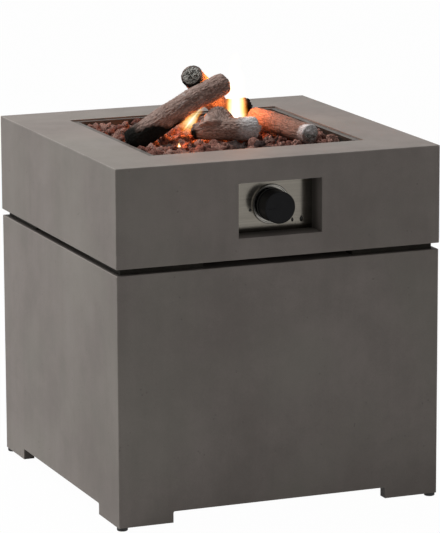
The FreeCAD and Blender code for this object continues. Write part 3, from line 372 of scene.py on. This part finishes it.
metals = {
    "panel": {"dark": (0.150, 0.138, 0.118), "light": (0.215, 0.198, 0.170), "grain": (3.0, 300.0, 900.0),
              "rough": 0.06, "relief": 0.00001, "shade": (0.5022, 0.5062)},
    "tray": {"dark": (0.050, 0.044, 0.038), "light": (0.150, 0.140, 0.124), "grain": (60.0, 60.0, 420.0),
             "rough": 0.42, "relief": 0.00006, "tint": (0.085, 0.062, 0.050),
             "heat": (11.0, 4.0, 0.55, 0.6), "tintShare": 0.8},
    "burner": {"dark": (0.12, 0.10, 0.09), "light": (0.30, 0.27, 0.24), "grain": (160.0, 160.0, 160.0),
               "rough": 0.42, "relief": 0.00008, "tint": (0.16, 0.09, 0.06),
               "heat": (26.0, 4.0, 0.55, 0.6), "tintShare": 0.9},
    "zinc": {"dark": (0.36, 0.36, 0.37), "light": (0.60, 0.60, 0.61), "grain": (220.0, 220.0, 220.0),
             "rough": 0.3, "relief": 0.00004},
    "bezel": {"dark": (0.21, 0.20, 0.18), "light": (0.32, 0.305, 0.28), "grain": (500.0, 40.0, 500.0),
              "rough": 0.12, "relief": 0.00002},
    "brass": {"dark": (0.48, 0.33, 0.13), "light": (0.72, 0.54, 0.26), "grain": (260.0, 260.0, 260.0),
              "rough": 0.26, "relief": 0.00004},
    "diecast": {"dark": (0.34, 0.34, 0.35), "light": (0.52, 0.52, 0.53), "grain": (340.0, 340.0, 340.0),
                "rough": 0.44, "relief": 0.00012},
    "pipe": {"dark": (0.44, 0.44, 0.45), "light": (0.66, 0.66, 0.67), "grain": (400.0, 12.0, 400.0),
             "rough": 0.28, "relief": 0.00003},
    "copper": {"dark": (0.42, 0.19, 0.10), "light": (0.70, 0.37, 0.22), "grain": (300.0, 20.0, 60.0),
               "rough": 0.3, "relief": 0.00003},
}
plastics = {
    "rubber": {"dark": (0.014, 0.014, 0.014), "light": (0.028, 0.027, 0.026), "grainScale": 900.0,
               "rough": 0.68, "relief": 0.0002},
    "pad": {"dark": (0.012, 0.0105, 0.008), "light": (0.026, 0.022, 0.0175), "grainScale": 900.0,
            "rough": 0.8, "relief": 0.0002, "gloss": 0.25},
    "knob": {"dark": (0.0035, 0.0035, 0.0042), "light": (0.006, 0.006, 0.007), "grainScale": 1500.0,
             "rough": 0.34, "relief": 0.00004, "gloss": 0.12},
    "igniter": {"dark": (0.018, 0.018, 0.02), "light": (0.03, 0.03, 0.033), "grainScale": 1200.0,
                "rough": 0.42, "relief": 0.00008},
    "magnet": {"dark": (0.02, 0.02, 0.02), "light": (0.035, 0.035, 0.034), "grainScale": 800.0,
               "rough": 0.5, "relief": 0.0001},
    "porcelain": {"dark": (0.62, 0.60, 0.55), "light": (0.80, 0.78, 0.74), "grainScale": 300.0,
                  "rough": 0.22, "relief": 0.00005, "coat": 0.6},
    "lead": {"dark": (0.22, 0.03, 0.02), "light": (0.38, 0.06, 0.04), "grainScale": 700.0,
             "rough": 0.46, "relief": 0.00008},
    "beech": {"dark": (0.36, 0.23, 0.12), "light": (0.55, 0.40, 0.24), "grainScale": 400.0,
              "rough": 0.6, "relief": 0.0001},
}
slotFinish = {
    "rubber": ("plastic", "rubber"), "pad": ("plastic", "pad"), "steel_screw": ("metal", "zinc"),
    "dowel": ("plastic", "beech"), "steel": ("metal", "zinc"), "magnet": ("plastic", "magnet"),
    "stainless": ("metal", "burner"), "mixer": ("metal", "diecast"), "brass": ("metal", "brass"),
    "pipe": ("metal", "pipe"), "valve": ("metal", "diecast"), "igniter": ("plastic", "igniter"),
    "spring": ("metal", "zinc"), "knob": ("plastic", "knob"), "bezel": ("metal", "bezel"),
    "porcelain": ("plastic", "porcelain"), "copper_lead": ("metal", "copper"), "lead": ("plastic", "lead"),
}
nodeFinish = {"control_panel": ("metal", "panel"), "burner_tray": ("metal", "tray")}
makers = {"metal": (metalFinish, metals), "plastic": (plasticFinish, plastics)}


def dressNodes():
    made = {}
    for subpart in frame["record"]["subparts"]:
        node, slot = subpart["node"], subpart["material_slot"]
        if slot == "concrete":
            material = concreteFinish("concrete." + node, node, concrete)
        elif slot in slotFinish:
            kind, name = nodeFinish.get(node, slotFinish[slot])
            if name not in made:
                maker, table = makers[kind]
                made[name] = maker(kind + "." + name, table[name])
            material = made[name]
        else:                                       # logs and stones, which pieces stand for
            continue
        slots = frame["nodes"][node].data.materials
        slots.clear()
        slots.append(material)


dressNodes()
print("finishes on the carried nodes done")


# A finished mesh becomes a piece: it rides on a body and stands for its nodes

def toObject(name, bm, material):
    data = bpy.data.meshes.new(name)
    bm.to_mesh(data)
    bm.free()
    data.materials.append(material)
    return addToScene(name, data)


def newPiece(name, bm, body, material, nodes=()):
    bmesh.ops.recalc_face_normals(bm, faces=bm.faces)
    piece = toObject(name, bm, material)
    for face in piece.data.polygons:
        face.use_smooth = True
    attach(piece, body)
    if nodes:
        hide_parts(*nodes)


# Ceramic logs: a cylinder is bent along the log's axis, then ridged and cracked.
# Each place on an axis has its height over the stones' top and its radius, in metres.

logStyle = {
    "around": 120,
    "step": 0.0012,
    "capRings": 12,
    "bedDrop": 0.002,                       # of the stones' top under the rim
    "aimStep": 0.02,                        # share of the axis that gives its direction
    "seedShift": (1.7, 0.9),
    "lumps": ((32, 0.075), (75, 0.02625)),  # scale, and height as a share of the radius
    "strandStretch": (520, 60),             # across and along the log
    "strandNoise": (0.8, 2.1, 4),           # fractal: dimension, lacunarity and octaves
    "ridge": 0.0009,
    "crackStretch": (230, 52),
    "crackWarp": (110, 0.8),                # scale and push
    "crackSharp": 4.2,
    "crack": 0.0013,
    "plainEnd": 0.004,                      # where the bark gets shallower near an end
    "plainShare": 0.35,
    "roundShare": 0.85,
    "endScale": 170,
    "endShift": 9,
    "endNoise": (0.8, 2.2, 4),
    "endLump": 0.0034,
    "endSwell": 0.22,                       # share of the radius
    "endCrack": 1.6,
    "wander": ((45, 0.09), (160, 0.03)),    # scale and reach of the zones' uneven edges
    "underShare": 0.5,
    "charSpread": (-0.06, 0.10),
    "ashSharp": 1.6,
}
logDefaults = {
    "carving": 1.0,
    "rounding": (0.5, 0.5),                 # of the first and the last edge, as a share of the radius
    "flare": (0.0, 0.0),                    # extra width at the foot, to either side
    "allRound": 0.4,                        # ash on faces that look down
    "capChar": 1.0,
    "tones": {},
}
forkTones = {"brown": (0.350, 0.225, 0.182), "grey": (0.52, 0.40, 0.355)}
logs = {                                    # char reaches in from each end, ash has centre, width and amount
    "logCrossing": {
        "node": "log_crossing", "seed": 3, "char": (0.32, 0.0), "under": 0.46,
        "ash": ((0.40, 0.05, 0.30), (0.50, 0.03, 0.10)), "endAsh": 0.1,
        "axis": [(-0.171, -0.025, -0.006, 0.021), (-0.134, -0.021, 0.0145, 0.0225),
                 (-0.078, -0.015, 0.045, 0.0215), (-0.035, -0.010, 0.066, 0.0205),
                 (0.008, -0.010, 0.084, 0.020), (0.020, -0.010, 0.089, 0.016)]},
    "logBack": {
        "node": "log_back", "seed": 5, "char": (0.05, 0.16), "under": 0.1,
        "ash": ((0.0, 0.03, 0.3),), "endAsh": 0.1, "capChar": 0.0, "rounding": (0.15, 0.5), "carving": 0.6,
        "axis": [(-0.039, 0.0132, 0.1012, 0.0200), (-0.010, 0.043, 0.0775, 0.020),
                 (0.030, 0.082, 0.043, 0.0195), (0.062, 0.111, 0.015, 0.018)]},
    "logForked": {
        "node": "log_forked", "seed": 8, "char": (0.05, 0.0), "under": 0.08, "ash": ((1.0, 0.40, 1.0),),
        "endAsh": 0.9, "allRound": 1.0, "rounding": (0.5, 0.62), "tones": forkTones,
        "axis": [(-0.059, -0.042, 0.009, 0.013), (-0.034, -0.048, 0.011, 0.017),
                 (-0.005, -0.054, 0.012, 0.020), (0.028, -0.060, 0.012, 0.021),
                 (0.048, -0.063, 0.012, 0.0205), (0.0575, -0.065, 0.012, 0.0195)]},
    "logForkedBranch": {
        "node": None, "seed": 34, "char": (0.0, 0.0), "under": 0.0, "ash": ((0.9, 0.1, 0.2),),
        "endAsh": 0.2, "flare": (2.3, 1.25), "tones": forkTones,
        "axis": [(-0.008, -0.054, 0.014, 0.016), (-0.007, -0.038, 0.031, 0.0155),
                 (-0.006, -0.027, 0.044, 0.0135)]},
    "logRight": {
        "node": "log_right", "seed": 13, "char": (0.0, 0.0), "under": 0.1, "ash": ((0.97, 0.14, 0.9),),
        "endAsh": 0.15, "carving": 0.55, "rounding": (0.5, 0.22),
        "tones": {"brown": (0.220, 0.118, 0.088), "grey": (0.320, 0.205, 0.165)},
        "axis": [(0.086, 0.024, 0.017, 0.017), (0.098, -0.030, 0.0155, 0.0185),
                 (0.110, -0.094, 0.012, 0.018), (0.122, -0.151, 0.0095, 0.017)]},
    "logStub": {
        "node": "log_stub", "seed": 21, "char": (0.45, 0.3), "under": 0.2, "ash": ((0.6, 0.1, 0.2),),
        "endAsh": 0.2,
        "axis": [(0.074, 0.152, 0.016, 0.013), (0.100, 0.149, 0.017, 0.014), (0.128, 0.145, 0.0165, 0.014)]},
}


def smooth(value, low, high):
    share = max(0.0, min(1.0, (value - low) / (high - low)))
    return share * share * (3 - 2 * share)


def stretched(spot, scales):
    across, along = scales
    return Vector((spot.x * across, spot.y * across, spot.z * along))


def alongAxis(points, spans, share):        # a smooth curve through the points, by the way along it
    last = len(points) - 1
    way = share * sum(spans)
    index = 0
    while index < last - 1 and way > spans[index]:
        way -= spans[index]
        index += 1
    part = way / spans[index]
    before, start, end, after = [points[max(0, min(last, index + offset))] for offset in (-1, 0, 1, 2)]
    pull = (end - before) * 0.5
    leave = (after - start) * 0.5
    square, cube = part * part, part * part * part
    return (start * (2 * cube - 3 * square + 1) + pull * (cube - 2 * square + part)
            + end * (3 * square - 2 * cube) + leave * (cube - square))


def unitCylinder(around, along, capRings):
    bm = bmesh.new()
    bmesh.ops.create_cone(bm, cap_ends=True, segments=around, radius1=1, radius2=1, depth=1)
    bmesh.ops.translate(bm, verts=bm.verts, vec=(0, 0, 0.5))
    caps = [face for face in bm.faces if len(face.verts) > 4]
    for cap in caps:
        for ring in range(capRings - 1):
            bmesh.ops.inset_individual(bm, faces=[cap], thickness=1 / capRings)
    bmesh.ops.poke(bm, faces=caps)
    uprights = [edge for edge in bm.edges if abs(edge.verts[0].co.z - edge.verts[1].co.z) > 0.5]
    bmesh.ops.subdivide_edges(bm, edges=uprights, cuts=along - 1, use_grid_fill=True)
    return bm


def barkRelief(spot, radius, fromEnd, carving, style):
    lump = sum(noise.noise(spot * scale) * height for scale, height in style["lumps"]) * radius
    warp, push = style["crackWarp"]
    cracked = stretched(spot, style["crackStretch"]) + noise.noise_vector(spot * warp) * push
    nearest, second = noise.voronoi(cracked)[0][:2]
    crack = max(0.0, 1 - (second - nearest) * style["crackSharp"])
    strands = noise.fractal(stretched(spot, style["strandStretch"]), *style["strandNoise"])
    least = style["plainShare"]
    depth = (least + (1 - least) * min(1, fromEnd / style["plainEnd"])) * carving
    return lump + (strands * style["ridge"] - crack * style["crack"]) * depth, crack


def endRelief(face, rim, radius, style):
    grain = noise.fractal(face, *style["endNoise"])
    swell = grain * style["endLump"] * (1 - rim ** 6) + (1 - rim ** 2) * style["endSwell"] * radius
    return swell, max(0, -grain * style["endCrack"])


def charAndAsh(spot, share, spread, isCap, settings, style):
    wander = sum(noise.noise(spot * scale) * reach for scale, reach in style["wander"])
    wander -= spread.z * settings["under"] * style["underShare"]
    char = max(smooth(reach - fromEnd + wander, *style["charSpread"]) if reach else 0
               for reach, fromEnd in zip(settings["char"], (share, 1 - share)))
    if isCap:
        char *= settings["capChar"]
    ash = settings["endAsh"] if isCap else 0.0
    facing = settings["allRound"] + (1 - settings["allRound"]) * max(0, spread.z)
    for centre, width, amount in settings["ash"]:
        near = max(0, 1 - abs(share - centre + wander) / width)
        ash = max(ash, amount * facing * min(1, style["ashSharp"] * near))
    return char, ash


def makeLog(name, settings, style, material):
    lift = Vector((0, 0, headTop - style["bedDrop"], 0))
    points = [Vector(entry) + lift for entry in settings["axis"]]
    spans = [(end - start).to_3d().length for start, end in zip(points, points[1:])]
    length = sum(spans)
    bm = unitCylinder(style["around"], int(length / style["step"]), style["capRings"])
    zones = bm.verts.layers.float_color.new("zones")
    straight = bm.verts.layers.float_vector.new("straight")
    offset = Vector((*[settings["seed"] * shift for shift in style["seedShift"]], 0))
    for vert in bm.verts:
        share = vert.co.z
        angle = math.atan2(vert.co.y, vert.co.x)
        rim = min(1, vert.co.to_2d().length)
        atEnd = share < 1e-4 or share > 1 - 1e-4
        isCap = rim < 0.999
        here = alongAxis(points, spans, share)
        radius = here.w
        ahead = (alongAxis(points, spans, min(1, share + style["aimStep"]))
                 - alongAxis(points, spans, max(0, share - style["aimStep"]))).to_3d().normalized()
        across = ahead.cross(Vector((0, 0, 1))).normalized()
        spread = across * math.cos(angle) + across.cross(ahead) * math.sin(angle)
        flat = Vector((math.cos(angle) * radius, math.sin(angle) * radius, share * length))
        spot = flat + offset
        fromEnd = min(share, 1 - share) * length
        relief, crack = barkRelief(spot, radius, fromEnd, settings["carving"], style)
        roundOff = settings["rounding"][int(share > 0.5)] * radius
        if fromEnd < roundOff:
            arc = math.sqrt(max(0, roundOff ** 2 - (roundOff - fromEnd) ** 2))
            relief -= (roundOff - arc) * style["roundShare"]
        flare = settings["flare"][int(math.cos(angle) > 0)] * (1 - share) * math.cos(angle) ** 2
        vert.co = here.to_3d() + spread * ((radius + relief) * rim * (1 + flare))
        if atEnd:
            scale = style["endScale"]
            face = Vector((flat.x * rim * scale, flat.y * rim * scale, share * style["endShift"] + offset.x))
            swell, crack = endRelief(face, rim, radius, style)
            vert.co += ahead * (swell if share > 0.5 else -swell)
        vert[straight] = Vector((flat.x * rim, flat.y * rim, flat.z)) + offset
        char, ash = charAndAsh(spot, share, spread, isCap, settings, style)
        vert[zones] = (char, ash, 1.0 if isCap else 0.0, 1 - min(1, crack))
    newPiece(name, bm, "root", material, [settings["node"]] if settings["node"] else [])


bark = {
    "deep": (0.070, 0.044, 0.035),
    "brown": (0.290, 0.185, 0.150),
    "grey": (0.460, 0.350, 0.310),
    "black": (0.0035, 0.0033, 0.0024),
    "ash": (0.86, 0.83, 0.82),
    "ashDeep": (0.33, 0.31, 0.31),
    "endDark": (0.022, 0.022, 0.018),
    "endLight": (0.58, 0.56, 0.51),
    "strands": ((520.0, 520.0, 60.0), 6.0, 0.68, 0.3),
    "flakes": ((130.0, 130.0, 45.0), 6.0, 0.62),
    "fine": (900.0, 4.0, 0.6),
    "speckle": (330.0, 5.0, 0.7),
    "curls": (190.0, 4.0, 0.65, 2.0),
    "rings": ((300.0, 900.0, 170.0), 5.0, 0.7, 0.8),
    "toneShares": (0.45, 0.5, 0.18),                # of strands, flakes and fine
    "toneRange": (0.36, 0.76),
    "grooveShares": (0.6, 0.4),                     # of the mesh's cracks and the strands' gaps
    "gapRange": (0.3, 0.44),
    "endShares": (0.8, 0.25),                       # of curls and speckle
    "endRange": (0.46, 0.64),
    "ringRange": (0.36, 0.58),
    "dustShares": (0.5, 0.5),                       # of flakes and fine
    "dustRange": (0.36, 0.6),
    "dustEdge": (1.5, 0.5),                         # gain of the ash, and how far the flakes cut in
    "charEdge": (1.3, 0.2),
    "heightShares": (0.8, 0.25, 1.1, 0.8),          # of strands, fine, speckle on the ends, rings in the ash
    "rough": 0.8,
    "roughShare": 0.15,
    "gloss": 0.12,
    "bump": (0.0010, 0.5),
}


def barkFinish(name, settings):
    finish = Finish("bark." + name)
    place = finish.attribute("straight", "Vector")
    char, ash, endFace = finish.split(finish.attribute("zones", "Color"), "ShaderNodeSeparateColor")
    ridge = finish.attribute("zones", "Alpha")
    strands, flakes, fine, speckle, curls, rings = [
        finish.clouds(place, *settings[key])
        for key in ("strands", "flakes", "fine", "speckle", "curls", "rings")]
    tone = weighted((strands, flakes, fine), settings["toneShares"])
    colour = finish.mix(tone.above(*settings["toneRange"]), settings["brown"], settings["grey"])
    groove = weighted(((1 - ridge).capped(), strands.below(*settings["gapRange"])), settings["grooveShares"])
    colour = finish.mix(groove.capped(), colour, settings["deep"])
    curled = weighted((curls, speckle), settings["endShares"])
    endTone = finish.mix(curled.above(*settings["endRange"]), settings["endDark"], settings["endLight"])
    colour = finish.mix(endFace, colour, endTone)
    ashTone = finish.mix(rings.above(*settings["ringRange"]), settings["ashDeep"], settings["ash"])
    gain, cut = settings["dustEdge"]
    flaked = weighted((flakes, fine), settings["dustShares"]).below(*settings["dustRange"])
    colour = finish.mix((ash * gain - flaked * cut).capped(), colour, ashTone)
    gain, cut = settings["charEdge"]
    colour = finish.mix((char * gain - fine * cut).capped(), colour, settings["black"])
    height = weighted((strands, fine, speckle * endFace, rings * ash), settings["heightShares"])
    return finish.surface(colour, Roughness=settings["rough"] + strands * settings["roughShare"],
                          Specular_IOR_Level=settings["gloss"], Normal=finish.bump(height, *settings["bump"]))


def makeLogs():
    for name, given in logs.items():
        settings = {**logDefaults, **given}
        makeLog(name, settings, logStyle, barkFinish(name, {**bark, **settings["tones"]}))


makeLogs()
print("logs done")


# Lava stones: each stone of the node is a plain solid, here cut finer, broken into facets and pitted

rockStyle = {
    "merge": 1e-5,
    "cuts": 4,
    "roundness": 0.12,
    "swell": 0.0026,
    "lump": 0.0052,
    "lumpScale": 80,
    "lumpNoise": (0.75, 2.0, 4),            # fractal: dimension, lacunarity and octaves
    "facet": 0.0046,
    "facetScale": 48,
    "facetSharp": 2.2,
    "pit": 0.0034,
    "pitScales": (150, 230),                # drawn between these for each stone
    "pitSharp": 2.1,
    "smallPits": (2.3, 0.45),               # scale over that of the large ones, and depth
    "noiseReach": 50,
    "seed": 7,
}
lava = {
    "dark": (0.050, 0.019, 0.015),
    "red": (0.265, 0.110, 0.085),
    "pink": (0.55, 0.32, 0.26),
    "grey": (0.060, 0.050, 0.048),
    "blotch": (60.0, 6.0, 0.65, 0.5),
    "grain": (600.0, 5.0, 0.7),
    "poreScale": 300.0,
    "poreRange": (0.12, 0.42),
    "poreShare": 0.75,
    "toneShares": (0.6, 0.7),               # of the stone's own tone and the blotches
    "toneRange": (0.3, 0.95),
    "greyRange": (0.90, 0.95),              # of the stones' tones
    "darkShares": (0.8, 0.3),               # of grain and blotches
    "darkRange": (0.45, 0.68),
    "darkShare": 0.7,
    "pitShadeShare": 0.9,
    "heightShares": (0.7, -0.9, 0.6),       # of grain, pores and blotches
    "rough": 0.86,
    "roughShare": 0.1,
    "gloss": 0.15,
    "bump": (0.0028, 1.0),
}


def islands(bm):
    unseen = set(bm.verts)
    while unseen:
        found = [unseen.pop()]
        for vert in found:
            for edge in vert.link_edges:
                other = edge.other_vert(vert)
                if other in unseen:
                    unseen.remove(other)
                    found.append(other)
        yield found


def makeRocks(style, material):
    chance = random.Random(style["seed"])
    bm = bmesh.new()
    bm.from_mesh(frame["nodes"]["lava_rocks"].data)
    bmesh.ops.remove_doubles(bm, verts=bm.verts, dist=style["merge"])
    bmesh.ops.subdivide_edges(bm, edges=bm.edges, cuts=style["cuts"], use_grid_fill=True,
                              smooth=style["roundness"])
    bm.normal_update()
    tone = bm.verts.layers.float.new("tone")
    pitted = bm.verts.layers.float.new("pitted")
    finer, shallower = style["smallPits"]
    stones = sorted(islands(bm), key=lambda verts: min(tuple(vert.co) for vert in verts))
    for verts in stones:
        shade = chance.random()
        offset = Vector((chance.random(), chance.random(), chance.random())) * style["noiseReach"]
        coarse = chance.uniform(*style["pitScales"])
        moves = []
        for vert in verts:
            spot = vert.co + offset
            lump = noise.fractal(spot * style["lumpScale"], *style["lumpNoise"]) * style["lump"]
            lump += style["swell"]
            first, second = noise.voronoi(spot * style["facetScale"])[0][:2]
            lump -= (1 - min(1, (second - first) * style["facetSharp"])) * style["facet"]
            holed = spot * coarse
            large, small = [max(0, 1 - noise.voronoi(near)[0][0] * style["pitSharp"])
                            for near in (holed, holed * finer)]
            pit = large + shallower * small
            moves.append((vert, vert.normal * (lump - pit * style["pit"]), pit))
        for vert, move, pit in moves:
            vert.co += move
            vert[tone] = shade
            vert[pitted] = min(1, pit)
    newPiece("lavaRocks", bm, "root", material, ["lava_rocks"])


def lavaFinish(settings):
    finish = Finish("lava")
    place = finish.place()
    tone = finish.attribute("tone")
    pitted = finish.attribute("pitted")
    blotch = finish.clouds(place, *settings["blotch"])
    grain = finish.clouds(place, *settings["grain"])
    pores = finish.cells(place, settings["poreScale"]).below(*settings["poreRange"])
    warm = weighted((tone, blotch), settings["toneShares"])
    colour = finish.mix(warm.above(*settings["toneRange"]), settings["red"], settings["pink"])
    colour = finish.mix(tone.above(*settings["greyRange"]), colour, settings["grey"])
    burnt = weighted((grain, blotch), settings["darkShares"]).above(*settings["darkRange"])
    # darker in the burnt patches and the pores, and painted shade in the pits, by their depth
    for mask in (burnt * settings["darkShare"], (pitted * settings["pitShadeShare"]).capped(),
                 pores * settings["poreShare"]):
        colour = finish.mix(mask, colour, settings["dark"])
    height = weighted((grain, pores, blotch), settings["heightShares"])
    return finish.surface(colour, Roughness=settings["rough"] + grain * settings["roughShare"],
                          Specular_IOR_Level=settings["gloss"], Normal=finish.bump(height, *settings["bump"]))


makeRocks(rockStyle, lavaFinish(lava))
print("lava rocks done")


# Marks on the control panel: a dot for off, a small and a large flame for low and high

marks = {
    "proud": 0.00012,
    "dot": {"across": -0.0385, "up": 0.5360, "radius": 0.0024},
    "smallFlame": {"across": 0.0410, "up": 0.5140, "height": 0.0080},
    "largeFlame": {"across": 0.0580, "up": 0.5145, "height": 0.0110},
    "dotPoints": 20,
    "flamePoints": 24,
    "flameWidth": 0.3,                      # half width, as a share of the height
    "flameTaper": (0.62, 1.2),              # amount and power
    "ink": (0.040, 0.037, 0.033),
    "wornInk": (0.075, 0.072, 0.068),
    "wear": (900.0, 3.0),
    "wearRange": (0.4, 0.7),
    "rough": 0.55,
    "roughShare": 0.15,
}


def markFinish(settings):
    finish = Finish("markInk")
    worn = finish.clouds(finish.place(), *settings["wear"])
    colour = finish.mix(worn.above(*settings["wearRange"]), settings["ink"], settings["wornInk"])
    return finish.surface(colour, Roughness=settings["rough"] + worn * settings["roughShare"])


def turns(count):
    return [2 * math.pi * index / count for index in range(count)]


def dotOutline(mark, settings):
    return [(mark["across"] + math.cos(turn) * mark["radius"], mark["up"] + math.sin(turn) * mark["radius"])
            for turn in turns(settings["dotPoints"])]


def flameOutline(mark, settings):
    amount, power = settings["flameTaper"]
    outline = []
    for turn in turns(settings["flamePoints"]):
        taper = 1 - amount * max(0, math.sin(turn)) ** power
        outline.append((mark["across"] + math.cos(turn) * taper * mark["height"] * settings["flameWidth"],
                        mark["up"] + math.sin(turn) * mark["height"] * 0.5))
    return outline


def flatMark(bm, outline, face, proud):
    base = bm.faces.new([bm.verts.new((across, face, up)) for across, up in outline])
    raised = bmesh.ops.extrude_face_region(bm, geom=[base])["geom"]
    bmesh.ops.translate(bm, verts=[item for item in raised if isinstance(item, bmesh.types.BMVert)],
                        vec=(0, -proud, 0))


def makeMarks(settings):
    bm = bmesh.new()
    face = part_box("control_panel")[0].y
    outlines = [dotOutline(settings["dot"], settings)]
    outlines += [flameOutline(settings[name], settings) for name in ("smallFlame", "largeFlame")]
    for outline in outlines:
        flatMark(bm, outline, face, settings["proud"])
    newPiece("panelMarks", bm, "root", markFinish(settings))


makeMarks(marks)
print("panel marks done")


# The burning gas is light and no part of the object: each flame is two crossed planes,
# and each plane is two lamps back to back, so that it is seen from both sides.

flames = {                                  # foot from the middle of the rim, lean in degrees
    "main": {"foot": (0.055, 0.034, 0.002), "width": 0.058, "height": 0.135, "glow": 1.5, "seed": 2.0,
             "lean": 0.0, "fade": 0.08},
    "small": {"foot": (-0.066, 0.004, -0.006), "width": 0.046, "height": 0.080, "glow": 1.1, "seed": 7.0,
              "lean": 38.0, "fade": 0.45},
    "spark": {"foot": (-0.112, -0.112, -0.006), "width": 0.009, "height": 0.010, "glow": 1.6, "seed": 4.0,
              "lean": 0.0, "fade": 0.08},
}
flameStyle = {
    "turn": 22.0,                           # degrees, towards the camera
    "lickStretch": (1.4, 2.6),              # across and up
    "licks": (1.0, 3.0, 0.5),
    "sway": 1.8,
    "girth": (0.7, 0.85, 0.06),             # power, width at the foot, least width
    "bodyRange": (0.0, 0.5),
    "tipRange": (0.3, 1.0),
    "heat": 1.25,
    "stops": [
        (0.0, (0.45, 0.07, 0.004)), (0.22, (0.95, 0.30, 0.03)), (0.45, (1.0, 0.66, 0.22)),
        (0.75, (1.0, 0.93, 0.66)), (1.0, (1.0, 1.0, 0.92))],
}


def newLamp(name, kind, **settings):
    lampData = bpy.data.lights.new(name, kind)
    for key, setting in settings.items():
        setattr(lampData, key, setting)
    return addToScene(name, lampData)


def paintFlame(lampData, settings, style):
    finish = Finish(lampData.name, lampData, "Light")
    across, drop = finish.split(finish.node("ShaderNodeNewGeometry", output="Parametric"))[:2]
    rise = 1 - drop
    wide, tall = style["lickStretch"]
    spot = finish.node("ShaderNodeCombineXYZ", values=(across * wide, rise * tall, settings["seed"]))
    licks = finish.clouds(spot, *style["licks"])
    aside = abs((across - 0.5) * 2 + (licks - 0.5) * rise * style["sway"])
    power, foot, least = style["girth"]
    body = (1 - aside / ((1 - rise).capped() ** power * foot + least)).capped()
    start = rise.above(0.0, settings["fade"])
    glow = body.above(*style["bodyRange"]) * rise.below(*style["tipRange"]) * start
    heat = body * (style["heat"] - rise) * start
    colour = finish.node("ShaderNodeValToRGB", {"stops": style["stops"]}, (heat,))
    finish.show(finish.node("ShaderNodeEmission", values=(finish.mix(glow, (0, 0, 0), colour), 1.0)))


def makeFlame(name, settings, style):
    width, height = settings["width"], settings["height"]
    foot = Vector(settings["foot"]) + Vector((0, 0, headTop))
    sight = Matrix.Rotation(math.radians(-style["turn"]), 3, "Z") @ Vector((0, 1, 0))
    lean = Matrix.Rotation(math.radians(settings["lean"]), 4, sight)
    middle = foot + lean @ Vector((0, 0, height / 2))
    upright = Matrix.Rotation(math.radians(-90), 4, "X")
    for side in range(4):
        lamp = newLamp("%s.%d" % (name, side), "AREA", shape="RECTANGLE", size=width, size_y=height,
                       energy=settings["glow"] * math.pi * (width * height))
        paintFlame(lamp.data, settings, style)
        lamp.visible_camera = True
        lamp.visible_diffuse = False
        lamp.visible_glossy = False
        turn = Matrix.Rotation(math.radians(90 * side - style["turn"]), 4, "Z")
        lamp.matrix_world = Matrix.Translation(middle) @ lean @ turn @ upright


def makeFlames():
    for name, settings in flames.items():
        makeFlame("flame." + name, settings, flameStyle)


makeFlames()
print("flames done")


# Floor, world, studio lamps and the fire's own light

studio = {
    "floorSize": 30.0,
    "floorColour": (0.62, 0.62, 0.62),
    "white": (1.0, 1.0, 1.0),
    "whiteShare": 0.985,                    # of the floor that the camera sees, the rest keeps the shadow
    "world": 0.15,
    "aim": (0, 0, 0.35),
}
studioLamps = {
    "key": {"place": (-2.2, 1.4, 4.8), "size": 2.6, "power": 216.0, "mirrored": True},
    "left": {"place": (-4.6, 0.9, 1.5), "size": 2.2, "power": 30.0, "mirrored": True},
    "front": {"place": (2.2, -4.4, 0.65), "size": 1.6, "power": 16.2, "mirrored": False},
}
fireColour = (1.0, 0.27, 0.055)
fireLights = [                              # from the middle of the rim
    {"place": (0.058, -0.004, 0.050), "size": 0.022, "power": 0.27},
    {"place": (0.034, 0.020, 0.052), "size": 0.014, "power": 0.22},
    {"place": (0.012, 0.016, 0.076), "size": 0.006, "power": 0.16},
    {"place": (-0.052, -0.010, 0.026), "size": 0.012, "power": 0.22},
    {"place": (-0.100, -0.108, 0.008), "size": 0.006, "power": 0.03},
    {"place": (0.000, 0.020, 0.098), "size": 0.004, "power": 0.035},
]


def raysThatSee(finish):
    path = finish.node("ShaderNodeLightPath").socket.node.outputs
    kinds = [Signal(finish, path[name]) for name in ("Is Camera Ray", "Is Glossy Ray", "Is Transmission Ray")]
    return (kinds[0] + kinds[1] + kinds[2]).capped()


def makeFloor(settings):
    finish = Finish("floorPaper")
    seen = raysThatSee(finish) * settings["whiteShare"]
    paper = finish.node("ShaderNodeBsdfDiffuse", values=(settings["floorColour"],))
    white = finish.node("ShaderNodeEmission", values=(settings["white"], 1.0))
    finish.show(finish.node("ShaderNodeMixShader", values=(seen, paper, white)))
    bm = bmesh.new()
    bmesh.ops.create_grid(bm, x_segments=2, y_segments=2, size=settings["floorSize"] / 2)
    toObject("floor", bm, finish.owner)


def makeWorld(settings):
    world = bpy.data.worlds.new("studio")
    bpy.context.scene.world = world
    finish = Finish("studio", world, "World")
    plain, white = [finish.node("ShaderNodeBackground", values=(settings["white"], strength))
                    for strength in (settings["world"], 1.0)]
    finish.show(finish.node("ShaderNodeMixShader", values=(raysThatSee(finish), plain, white)))


def addStudioLamp(name, settings, target):
    lamp = newLamp(name, "AREA", shape="DISK", size=settings["size"], energy=settings["power"])
    lamp.visible_glossy = settings["mirrored"]
    place = Vector(settings["place"])
    aim = (target - place).to_track_quat("-Z", "Y").to_matrix().to_4x4()
    lamp.matrix_world = Matrix.Translation(place) @ aim


def addFireLight(name, settings):
    lamp = newLamp(name, "POINT", color=fireColour, energy=settings["power"],
                   shadow_soft_size=settings["size"])
    lamp.location = Vector(settings["place"]) + Vector((0, 0, headTop))


makeFloor(studio)
makeWorld(studio)
for lampName, lampSettings in studioLamps.items():
    addStudioLamp(lampName, lampSettings, Vector(studio["aim"]))
for lampIndex, lampSettings in enumerate(fireLights):
    addFireLight("fire.%d" % lampIndex, lampSettings)
print("studio done")
